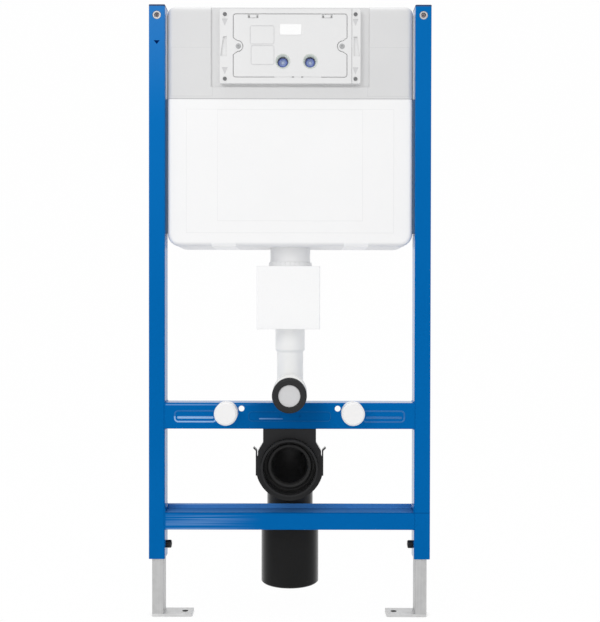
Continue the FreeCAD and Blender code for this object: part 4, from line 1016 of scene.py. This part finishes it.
NECK_RIB_COUNT = 28
NECK_RIB_SIZE = (0.0016, 0.0062, 0.0006, 0.0005, 0.0002)
NECK_RIB_SUNK = 0.0002
NECK_RIB_ABOVE = 0.004
neck_low, neck_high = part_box("outlet_neck")
neck_radius = (neck_high.x - neck_low.x) / 2
neck_centre = np.array([pipe_middle, pipe_axis, neck_low.z + NECK_RIB_ABOVE])
neck_ribs = []
for turn in circle(NECK_RIB_COUNT):
    outward = np.array([math.cos(turn), math.sin(turn), 0.0])
    rib_place = neck_centre + outward * (neck_radius - NECK_RIB_SUNK)
    neck_ribs.append(plate(*NECK_RIB_SIZE, rib_place, outward))
piece("neck_ribs", neck_ribs, neck_pale)

# Insulation block
# A block of white bead foam is slipped over the flush pipe, and keeps the space for the pan's fixings.
# It is moulded from beads that swell and press together, so a mesh of fine seams covers its faces.
FOAM_WHITE = (255, 255, 255)
FOAM_SEAM = (253, 253, 253)
FOAM_BEADS = 300.0
FOAM_PILLOW = (0.0, 0.16)
FOAM_RELIEF = 0.00003
FOAM_ROUNDING = 0.0018
foam_white, where = new_finish("white_bead_foam")
cells = {"Vector": where, "Scale": FOAM_BEADS}
pillow = where.node("ShaderNodeTexVoronoi", {"feature": "DISTANCE_TO_EDGE"}, cells).rise(*FOAM_PILLOW)
bead = parts_of(where.node("ShaderNodeTexVoronoi", {}, cells, "Color"))[0]
close_finish(where, {
    "Base Color": (0.75 * pillow + 0.25 * bead).tint(FOAM_SEAM, FOAM_WHITE),
    "Roughness": 0.66 + 0.2 * bead,
    "Specular IOR Level": 0.2,
    "Normal": bump(pillow + 0.5 * bead, FOAM_RELIEF, soft_normal(where, FOAM_ROUNDING)),
})
dress(foam_white, "insulation_block")

# Flush seal and plug
# A ribbed rubber sleeve on the end of the flush pipe takes the pan's flush spigot.
# A pale plug closes it until the pan is fitted.
RUBBER_TONES = ((44, 44, 45), (84, 84, 86))
RUBBER_GRAIN = (1100.0, 0.00009)
SLEEVE_RIB = [(0.0003, -0.0008), (0.0007, -0.0003), (0.0007, 0.0003), (0.0003, 0.0008), (-0.0008, 0.0008),
              (-0.0008, -0.0008)]
SLEEVE_RIB_PLACES = (0.006, 0.010, 0.014)
SLEEVE_STEPS = 72
grey_rubber = black_finish("grey_black_rubber", RUBBER_TONES, 0.5, RUBBER_GRAIN)
dress(grey_rubber, "flush_seal")
seal_low, seal_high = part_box("flush_seal")
seal_radius = (seal_high.x - seal_low.x) / 2
seal_x, seal_z = middle("flush_seal")[::2]
rib_profile = [(seal_radius + proud, along) for proud, along in SLEEVE_RIB]
sleeve_ribs = []
for start in SLEEVE_RIB_PLACES:
    rib_place = (seal_x, seal_low.y + start, seal_z)
    sleeve_ribs.append(turned(rib_profile, rib_place, TO_WALL, SLEEVE_STEPS, ring=True))
piece("seal_ribs", sleeve_ribs, grey_rubber)

PLUG_TONES = ((215, 215, 216), (178, 178, 180))
PLUG_STEP = (0.88, 0.94)
PLUG_RIM = (0.9, 1.0)
plug_low, plug_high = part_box("flush_plug")
plug_radius = (plug_high.x - plug_low.x) / 2


def plug_relief(across, depth, height):
    """A flat dish inside a low rim: the face sinks a little inside most of its radius."""
    outward = from_axis(across - seal_x, height - seal_z) / plug_radius
    return 0.25 * outward.rise(*PLUG_STEP), 0.2 * outward.rise(*PLUG_RIM)


dress(moulded("plug_grey", PLUG_TONES, 0.4, plug_relief), "flush_plug")

# Pan studs and caps
# Two threaded studs pass through the pan rail, held by nuts behind it. The pan hangs on them.
# White caps are pushed over their front ends so that the wall can be closed round them.
CAP_TONES = ((250, 249, 248), (226, 224, 226))
STUD_THREAD = (0.0059, 0.0064, 0.00175)
STUD_END = 0.0003
RAIL_WALL = 0.002
dress(bright_zinc, *both("pan_stud"))
dress(moulded("stud_cap_white", CAP_TONES, 0.3), *both("stud_cap"))
stud_threads = []
for stud in both("pan_stud"):
    stud_x, stud_z = middle(stud)[::2]
    stud_start = (stud_x, pan_low.y + RAIL_WALL, stud_z)
    stud_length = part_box(stud)[1].y - stud_start[1] - STUD_END
    stud_threads.append(thread(*STUD_THREAD, stud_start, TO_WALL, stud_length))
piece("stud_threads", stud_threads, bright_zinc)

# Rail swages and rivets
# A shallow rounded bead is pressed into the pan rail beyond each stud, which stiffens the thin sheet.
# Its crest is tinted paler as a painted highlight, most on the lower run and at the left end, where light
# catches it.
# Two small rivets near the middle are painted with the rail.
SWAGE_REACH = (0.1345, 0.2100)
SWAGE_FOOT = 0.0133
SWAGE_HEIGHT = 0.0198
SWAGE_CORNER = 0.0062
SWAGE_SECTION = ((0.0017, -0.0004), (0.0012, 0.0004), (0.0005, 0.0007), (-0.0005, 0.0007),
                 (-0.0012, 0.0004), (-0.0017, -0.0004))
RUN_SIZE = (0.067, 0.0046, 0.002, 0.0008, 0.0007)
RUN_ABOVE = 0.0077
MIDDLE_RUN_SIZE = (0.044, 0.0026, 0.0012, 0.0007, 0.0006)
MIDDLE_RUN_ABOVE = 0.0054
MIDDLE_RUN_BESIDE = -0.034
PRESSING_DEPTH = 0.001
CREST_HIGHLIGHT = (142, 180, 226)
CREST_SCALES = (9.0, 300.0, 400.0)
CREST_TOP = (0.0085, 0.011)
CREST_LIT = (0.1, 0.25)
CREST_GLANCE = (0.5, 0.85)
CREST_RELIEF = 0.00005
CREST_ROUNDING = 0.0006
swage_z = pan_low.z + SWAGE_FOOT
crest_highlight_blue, where = new_finish("highlight_crest_blue")
across, depth, height = parts_of(where)
rubbed = drawn_noise(where, CREST_SCALES, 2.0)
low_run = 1 - height.rise(*span(swage_z, CREST_TOP))
near_left = 1 - across.rise(*CREST_LIT)
# Painted highlight: the lower run of each swage is tinted paler, strongly on the left swage and faintly on
# the right.
crest = low_run * (0.05 + 0.95 * near_left) + 0.22 * rubbed
close_finish(where, {
    "Base Color": crest.tint(PAINT_BLUE, CREST_HIGHLIGHT),
    "Roughness": 0.26 + 0.14 * rubbed,
    "Specular IOR Level": 0.05,
    "Coat Weight": 0.05 + 0.6 * glancing(where, *CREST_GLANCE),
    "Normal": bump(rubbed, CREST_RELIEF, soft_normal(where, CREST_ROUNDING)),
})
swage_width = SWAGE_REACH[1] - SWAGE_REACH[0]
outlines = [rounded_outline(swage_width + 2 * beside, SWAGE_HEIGHT + 2 * beside, SWAGE_CORNER + beside)
            for beside, proud in SWAGE_SECTION]
heights = [proud for beside, proud in SWAGE_SECTION]
swages = []
for side in (-1, 1):
    swage_x = tank_middle + side * sum(SWAGE_REACH) / 2
    swage_place = (swage_x, pan_low.y, swage_z + SWAGE_HEIGHT / 2)
    swages.append(stacked(outlines, heights, swage_place, TO_FRONT, ring=True))
    swages.append(plate(*RUN_SIZE, (swage_x, pan_low.y, swage_z + RUN_ABOVE), TO_FRONT))
middle_place = (tank_middle + MIDDLE_RUN_BESIDE, pan_low.y + PRESSING_DEPTH, swage_z + MIDDLE_RUN_ABOVE)
swages.append(plate(*MIDDLE_RUN_SIZE, middle_place, TO_FRONT))
piece("rail_swages", swages, crest_highlight_blue)

RIVET = [(0.0021, -0.0006), (0.0021, 0.0003), (0.0015, 0.0009), (0.0004, 0.0011)]
RIVET_STEPS = 24
RIVET_SPACING = 0.0388
RIVET_DEPTH = 0.0008
RIVET_ABOVE = 0.0225
rivets = []
for side in (-1, 1):
    rivet_x = tank_middle + side * RIVET_SPACING / 2
    rivet_place = (rivet_x, pan_low.y + RIVET_DEPTH, pan_low.z + RIVET_ABOVE)
    rivets.append(turned(RIVET, rivet_place, TO_FRONT, RIVET_STEPS))
piece("rail_rivets", rivets, blue_paint)

# Waste bracket, bend and pipe
# A moulded bracket hangs from the pan rail and holds the waste bend, whose wide mouth takes the pan.
# Spring clips grip the mouth, a lip seal sits inside it, and a straight pipe leads down from the bend.
DRAIN_TONES = ((22, 22, 22), (52, 52, 53))
SEAL_TONES = ((48, 48, 48), (86, 86, 87))
SEAL_GRAIN = (1000.0, 0.00008)
# The bend's hollows are painted paler: painted light in its bore.
BEND_HOLLOW_LIGHT = 0.36
dress(black_plastic, "waste_bracket")
dress(black_finish("bend_black", BLACK_TONES, 0.3, PLASTIC_GRAIN, BEND_HOLLOW_LIGHT), "waste_bend")
dress(black_finish("drain_black", DRAIN_TONES, 0.34, PLASTIC_GRAIN), "waste_pipe")
seal_black = black_finish("black_rubber", SEAL_TONES, 0.46, SEAL_GRAIN)
dress(seal_black, "waste_seal")

SEAL_LIP_PROUD = 0.004
SEAL_SECTION = [(0.0336, 0.044), (0.0336, 0.032), (0.0344, 0.0285), (0.036, 0.0266), (0.038, 0.026),
                (0.0398, 0.0266), (0.0406, 0.0282), (0.041, 0.031), (0.0438, 0.0316), (0.0446, 0.0304),
                (0.0454, 0.0304), (0.0462, 0.0316), (0.0482, 0.032), (0.0482, 0.044)]
MOUTH_STEPS = 96
waste_x = middle("waste_bend")[0]
waste_z = middle("waste_seal")[2]
mouth_place = (waste_x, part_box("waste_seal")[0].y + SEAL_LIP_PROUD, waste_z)
lips = turned(SEAL_SECTION, mouth_place, TO_WALL, MOUTH_STEPS, ring=True)
lip_seal = piece("waste_lip_seal", [lips], seal_black)
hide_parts("waste_seal")


def cord(path, radius, steps=10):
    """Round cord along a path in an upright plane: a circle at each point, square to the path there."""
    along = np.gradient(path, axis=0)
    along = along / np.linalg.norm(along, axis=1, keepdims=True)
    side = np.array([1.0, 0.0, 0.0])
    up = np.cross(along, side)
    turn = circle(steps)[None, :, None]
    return patch(path[:, None, :] + radius * (np.cos(turn) * side + np.sin(turn) * up[:, None, :]))


PARTING_RADIUS = 0.0007
PARTING_START = 0.02
PARTING_END = 0.04
PARTING_STEPS = 60
BEND_RADIUS = 0.062
TUBE_RADIUS = 0.044
outer = BEND_RADIUS + TUBE_RADIUS
turn = np.linspace(PARTING_START, np.pi / 2 - PARTING_END, PARTING_STEPS)
parting_y = middle("waste_pipe")[1] - BEND_RADIUS + outer * np.cos(turn)
parting_z = waste_z - BEND_RADIUS + outer * np.sin(turn)
parting = np.stack([np.full_like(turn, waste_x), parting_y, parting_z], axis=-1)
piece("bend_parting_line", [cord(parting, PARTING_RADIUS)], black_plastic)

BRACKET_RIB_SIZE = (0.0024, 0.034, 0.0008, 0.0022, 0.0003)
BRACKET_RIB_PLACES = (-0.044, 0.044)
BRACKET_RIB_BELOW = 0.024
STOP_BEAD = [(0.0515, 0.003), (0.0515, 0.0), (0.054, 0.0), (0.0548, 0.0015), (0.054, 0.003)]
bracket_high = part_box("waste_bracket")[1]
bracket_ribs = []
for beside in BRACKET_RIB_PLACES:
    rib_place = (waste_x + beside, bracket_high.y, bracket_high.z - BRACKET_RIB_BELOW)
    bracket_ribs.append(plate(*BRACKET_RIB_SIZE, rib_place, TO_WALL))
piece("bracket_ribs", bracket_ribs, black_plastic)
stop_bead = turned(STOP_BEAD, (waste_x, bracket_high.y, waste_z), TO_WALL, MOUTH_STEPS, ring=True)
piece("bend_stop_bead", [stop_bead], black_plastic)

# Stage
# A plain pale floor and soft studio light: broad lamps high in front and above, and a pale room.
# The room is white to the camera and in reflections. The floor keeps the shadow, and its open parts let
# the camera look through, so a leg that is drawn out below it still shows.
FLOOR_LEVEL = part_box("left_foot")[0].z
FLOOR_REACH = 9.0
FLOOR_RISE_START = 2.2
FLOOR_RISE = 6.0
FLOOR_STEPS = 60
FLOOR_COLUMNS = 3
FLOOR_COLOUR = (0.93, 0.93, 0.93, 1.0)
FLOOR_CLEAR = 0.985
CONTACT_REACH = 0.03
CONTACT_LEVELS = (0.1, 0.8)
WHITE = (1.0, 1.0, 1.0, 1.0)
ROOM_LIGHT = 0.7


def seen_directly(shade):
    """1 for rays from the camera, off a glossy surface or through a clear one, and 0 for the rest."""
    seen = shade.node("ShaderNodeLightPath", output="Is Camera Ray")
    for ray in ("Is Glossy Ray", "Is Transmission Ray"):
        seen = shade.maths("MAXIMUM", seen, shade.node("ShaderNodeLightPath", output=ray))
    return seen


floor_finish, where = new_finish("pale_floor")
matt = where.node("ShaderNodeBsdfDiffuse", {}, {"Color": FLOOR_COLOUR})
clear = where.node("ShaderNodeBsdfTransparent", {}, {"Color": WHITE})
see_through = FLOOR_CLEAR * openness(where, CONTACT_REACH).rise(*CONTACT_LEVELS) * seen_directly(where)
floor_mix = where.node("ShaderNodeMixShader", {}, {0: see_through, 1: matt, 2: clear})
where.node("ShaderNodeOutputMaterial", {}, {"Surface": floor_mix})

along = np.linspace(-FLOOR_REACH, FLOOR_REACH, FLOOR_STEPS)[:, None]
sideways = np.linspace(-FLOOR_REACH, FLOOR_REACH, FLOOR_COLUMNS)[None, :]
lift = FLOOR_RISE * np.clip((along - FLOOR_RISE_START) / (FLOOR_REACH - FLOOR_RISE_START), 0, 1) ** 2
floor_grid = np.stack(np.broadcast_arrays(sideways, along, FLOOR_LEVEL + lift), axis=-1)
floor_index = np.arange(FLOOR_STEPS * FLOOR_COLUMNS).reshape(FLOOR_STEPS, FLOOR_COLUMNS)
floor_mesh = bpy.data.meshes.new("studio_floor")
floor_mesh.from_pydata(floor_grid.reshape(-1, 3).tolist(), [], quads(floor_index).tolist())
floor_mesh.materials.append(floor_finish)
floor = show("studio_floor", floor_mesh)

room = bpy.data.worlds.new("studio_room")
room.use_nodes = True
room.node_tree.nodes.clear()
shade = Shade(room.node_tree)
room_level = ROOM_LIGHT + (1 - ROOM_LIGHT) * seen_directly(shade)
room_light = shade.node("ShaderNodeBackground", {}, {"Color": WHITE, "Strength": room_level})
shade.node("ShaderNodeOutputWorld", {}, {"Surface": room_light})
bpy.context.scene.world = room

LAMPS = (
    ("lamp_left", (-1.5, -2.6, 1.2), 1.8, 25.0),
    ("lamp_right", (2.3, -2.8, 0.9), 1.8, 6.0),
    ("lamp_above", (0.24, -0.1, 2.3), 1.6, 24.0),
)
LAMP_AIM = (0.244, -0.1, -0.5)
for name, place, size, power in LAMPS:
    lamp_data = bpy.data.lights.new(name, "AREA")
    lamp_data.size = size
    lamp_data.energy = power
    lamp = show(name, lamp_data)
    aim = np.array(LAMP_AIM) - np.array(place)
    side, up, out = facing(-aim / np.linalg.norm(aim))
    side = side / np.linalg.norm(side)
    lamp.matrix_world = Matrix(np.stack([side, np.cross(out, side), out], axis=1).tolist()).to_4x4()
    lamp.location = place

# Camera
# It stands straight in front of the frame, a little right of its middle and just over half way up.
CAMERA_PLACE = (0.262, -1.865, -0.521)
CAMERA_LENS = 53.83
CAMERA_SENSOR = 36.0
CAMERA_PITCH = math.radians(90 - 0.618)
CAMERA_ROLL = math.radians(0.1)
camera_data = bpy.data.cameras.new("front_camera")
camera_data.sensor_fit = "VERTICAL"
camera_data.sensor_height = CAMERA_SENSOR
camera_data.lens = CAMERA_LENS
camera = show("front_camera", camera_data)
upright = Euler((CAMERA_PITCH, 0, 0)).to_matrix()
camera.matrix_world = (upright @ Matrix.Rotation(CAMERA_ROLL, 3, "Z")).to_4x4()
camera.location = CAMERA_PLACE
bpy.context.scene.camera = camera
bpy.context.scene.view_settings.view_transform = "Standard"
